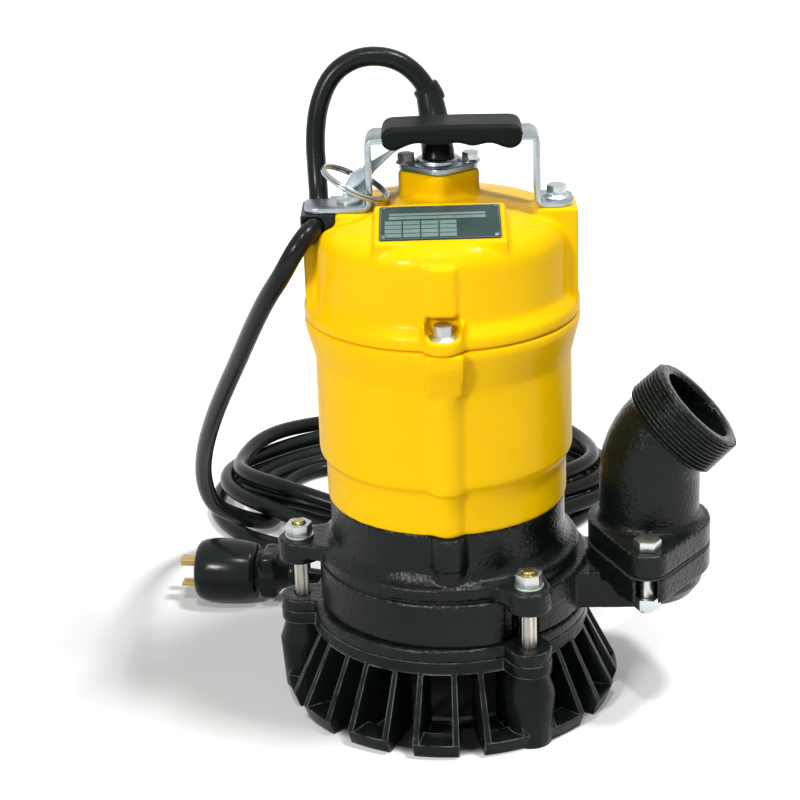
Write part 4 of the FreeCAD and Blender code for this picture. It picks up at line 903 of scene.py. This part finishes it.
lip_line = Vector((-0.49, 0.08, 0.87)).normalized()
lip_outline = ((0.0052, 0.0026), (0.0064, 0.0027), (0.0070, 0.0022), (0.0072, 0.0012),
               (0.0072, -0.0035), (0.0070, -0.0062), (0.0064, -0.0078), (0.0052, -0.0080))
lip = lathed(lip_outline, steps=64, tolerance=1e-5, closed=True)
put(lip, Matrix.Translation((-0.0049, 0.0268, 0.3352)) @ z_towards(lip_line))
finished(lip, "boot_lip", jacket)

# %% [markdown]
# ## Split ring
# The ring round the handle's leg is a key ring: hard wire wound round twice, so that its two turns
# lie on each other. A small circle is spun round twice and moves up by almost one wire's thickness
# a turn.

# %% Wind the ring
wire_radius = 0.00084
ring_radius = 0.0186
steps_a_turn = 110
ring = bmesh.new()
section = Matrix.Translation((ring_radius, 0, -wire_radius * 1.9)) @ Matrix.Rotation(pi / 2, 4, "X")
bmesh.ops.create_circle(ring, cap_ends=True, segments=14, radius=wire_radius, matrix=section)
bmesh.ops.spin(ring, geom=everything(ring), cent=(0, 0, 0), axis=(0, 0, 1), angle=4 * pi - 0.12,
               dvec=(0, 0, 1.95 * wire_radius / steps_a_turn), steps=2 * steps_a_turn)
put(ring, Matrix.Translation((-0.0435, -0.006, 0.2945)) @ Matrix.Rotation(radians(28), 4, "Y")
    @ Matrix.Rotation(radians(100), 4, "Z"))
finished(ring, "double_wound_ring", polished, "split_ring", body="ring")

# %% [markdown]
# ## Blank rating plate
# The slate plate has a thin pale frame and pale empty boxes, as on a plate before it is stamped.
# A grid of faces is inset one by one, the rims between them are thrown away, and what is left gets
# a hair of thickness.

# %% Boxes on the plate
on_plate = (Matrix.Translation((0, -0.039, 0.28135)) @ Matrix.Rotation(radians(12.27), 4, "X")
            @ Matrix.Translation((0, 0, 0.00088)))
marks = bmesh.new()
for left, right, low, high, columns, rows, gap in (
        (-0.0262, 0.0236, 0.0072, 0.0100, 1, 1, 0.0008),
        (-0.0262, 0.0236, 0.0034, 0.0066, 6, 1, 0.0004),
        (-0.0285, 0.0088, -0.0156, 0.0020, 4, 4, 0.0011)):
    field = Matrix.Translation(((left + right) / 2, (low + high) / 2, 0))
    field = field @ Matrix.Diagonal(((right - left) / 2, (high - low) / 2, 1, 1))
    made = bmesh.ops.create_grid(marks, x_segments=columns, y_segments=rows, size=1, matrix=field)
    faces = list({face for vert in made["verts"] for face in vert.link_faces})
    rims = bmesh.ops.inset_individual(marks, faces=faces, thickness=gap / 2)
    bmesh.ops.delete(marks, geom=rims["faces"], context="FACES")
bmesh.ops.solidify(marks, geom=marks.faces[:], thickness=0.00012)
put(marks, on_plate)
finished(marks, "plate_boxes", pale_print)

# %% Frame round the plate
border = bmesh.new()
bmesh.ops.create_grid(border, x_segments=1, y_segments=1, size=1,
                      matrix=Matrix.Diagonal((0.0306, 0.0171, 1, 1)))
border.faces.ensure_lookup_table()
middle_face = border.faces[0]
bmesh.ops.inset_individual(border, faces=[middle_face], thickness=0.0009)
bmesh.ops.delete(border, geom=[middle_face], context="FACES")
bmesh.ops.solidify(border, geom=border.faces[:], thickness=0.00016)
put(border, on_plate)
finished(border, "plate_frame", zinc)

# %% [markdown]
# ## The plug
# The plug lies on its side in front of the coil. Its body is turned: a neck on the cord, a waist,
# and a round bell with a rolled rim at the pins. A clamp block with two screw bosses grips the
# cord behind the bell. One outline is spun round the plug's axis, and the shell and its pins are
# then brought to their measured size.

# %% Turn the plug's body
cord_end = Vector((-0.098, 0.104, 0))
lying = (Matrix.Translation(cord_end) @ Matrix.Rotation(radians(-8), 4, "Z")
         @ Matrix.Translation(-cord_end) @ Matrix.Translation((-0.086, 0.1024, 0.0165))
         @ Matrix.Rotation(radians(-90), 4, "Y"))
lifted = Matrix.Translation((0, 0, 0.0034))
plug_outline = (
    (0.0050, 0.0012), (0.0066, 0.0), (0.0074, 0.0012), (0.0075, 0.0040), (0.0070, 0.0048),
    (0.0074, 0.0056), (0.0078, 0.0085), (0.0073, 0.0093), (0.0078, 0.0101), (0.0086, 0.0130),
    (0.0102, 0.0146), (0.0108, 0.0170), (0.0108, 0.0220), (0.0102, 0.0244), (0.0108, 0.0256),
    (0.0136, 0.0264), (0.0146, 0.0272), (0.0149, 0.0284), (0.0154, 0.0310), (0.0161, 0.0350),
    (0.0164, 0.0400), (0.0165, 0.0450), (0.0163, 0.0492), (0.0158, 0.0528), (0.0147, 0.0556),
    (0.0132, 0.0568), (0.0120, 0.0570), (0.0, 0.0570),
)
plug = lathed(plug_outline, steps=72, tolerance=1e-6)
bmesh.ops.holes_fill(plug, edges=[edge for edge in plug.edges if edge.is_boundary], sides=0)
bmesh.ops.recalc_face_normals(plug, faces=plug.faces)
print("plug body", len(plug.faces), "faces")


# %% Add the clamp block
def rounded_edges(work, verts, offset, segments, sharper_than=0.0):
    """Rounds the edges of a lump that was just added to a bmesh."""
    own = [edge for edge in work.edges if all(vert in verts for vert in edge.verts)
           and edge.calc_face_angle(0) > sharper_than]
    bmesh.ops.bevel(work, geom=own, offset=offset, affect="EDGES", segments=segments,
                    profile=0.5, material=-1)


clamp_height = 0.0192
block = bmesh.ops.create_cube(plug, size=1, matrix=Matrix.Translation((0.0005, 0, clamp_height))
                              @ Matrix.Diagonal((0.0232, 0.0200, 0.0092, 1)))
rounded_edges(plug, block["verts"], offset=0.0026, segments=4)
for side in (0.0055, -0.0055):
    spot = Matrix.Translation((0.0108, side, clamp_height)) @ Matrix.Rotation(pi / 2, 4, "Y")
    boss = bmesh.ops.create_cone(plug, cap_ends=True, segments=24, radius1=0.0031, radius2=0.0027,
                                 depth=0.0030, matrix=spot)
    rounded_edges(plug, boss["verts"], offset=0.0006, segments=2, sharper_than=1)
bmesh.ops.transform(plug, matrix=lifted @ lying @ Matrix.Scale(1.2, 4), verts=plug.verts)
plug_piece = finished(plug, "plug_shell", plug_rubber, "plug_body", crisp=40)
pins = [blades, earth_pin]
spread_out = (lifted @ lying @ Matrix.Translation((0, 0, 0.0055))
              @ Matrix.Diagonal((1.25, 1.25, 1, 1)))
for pin in pins:
    pin.data.transform(spread_out @ lying.inverted())
print("plug's lowest point", round(min(vert.co.z for vert in plug_piece.data.vertices), 5))

# %% [markdown]
# ## The cord's length, and close
# The cord is the photo's own cord, about four and a half metres: all of it shows there, apart from
# what lies behind the pump.

bpy.context.view_layer.update()
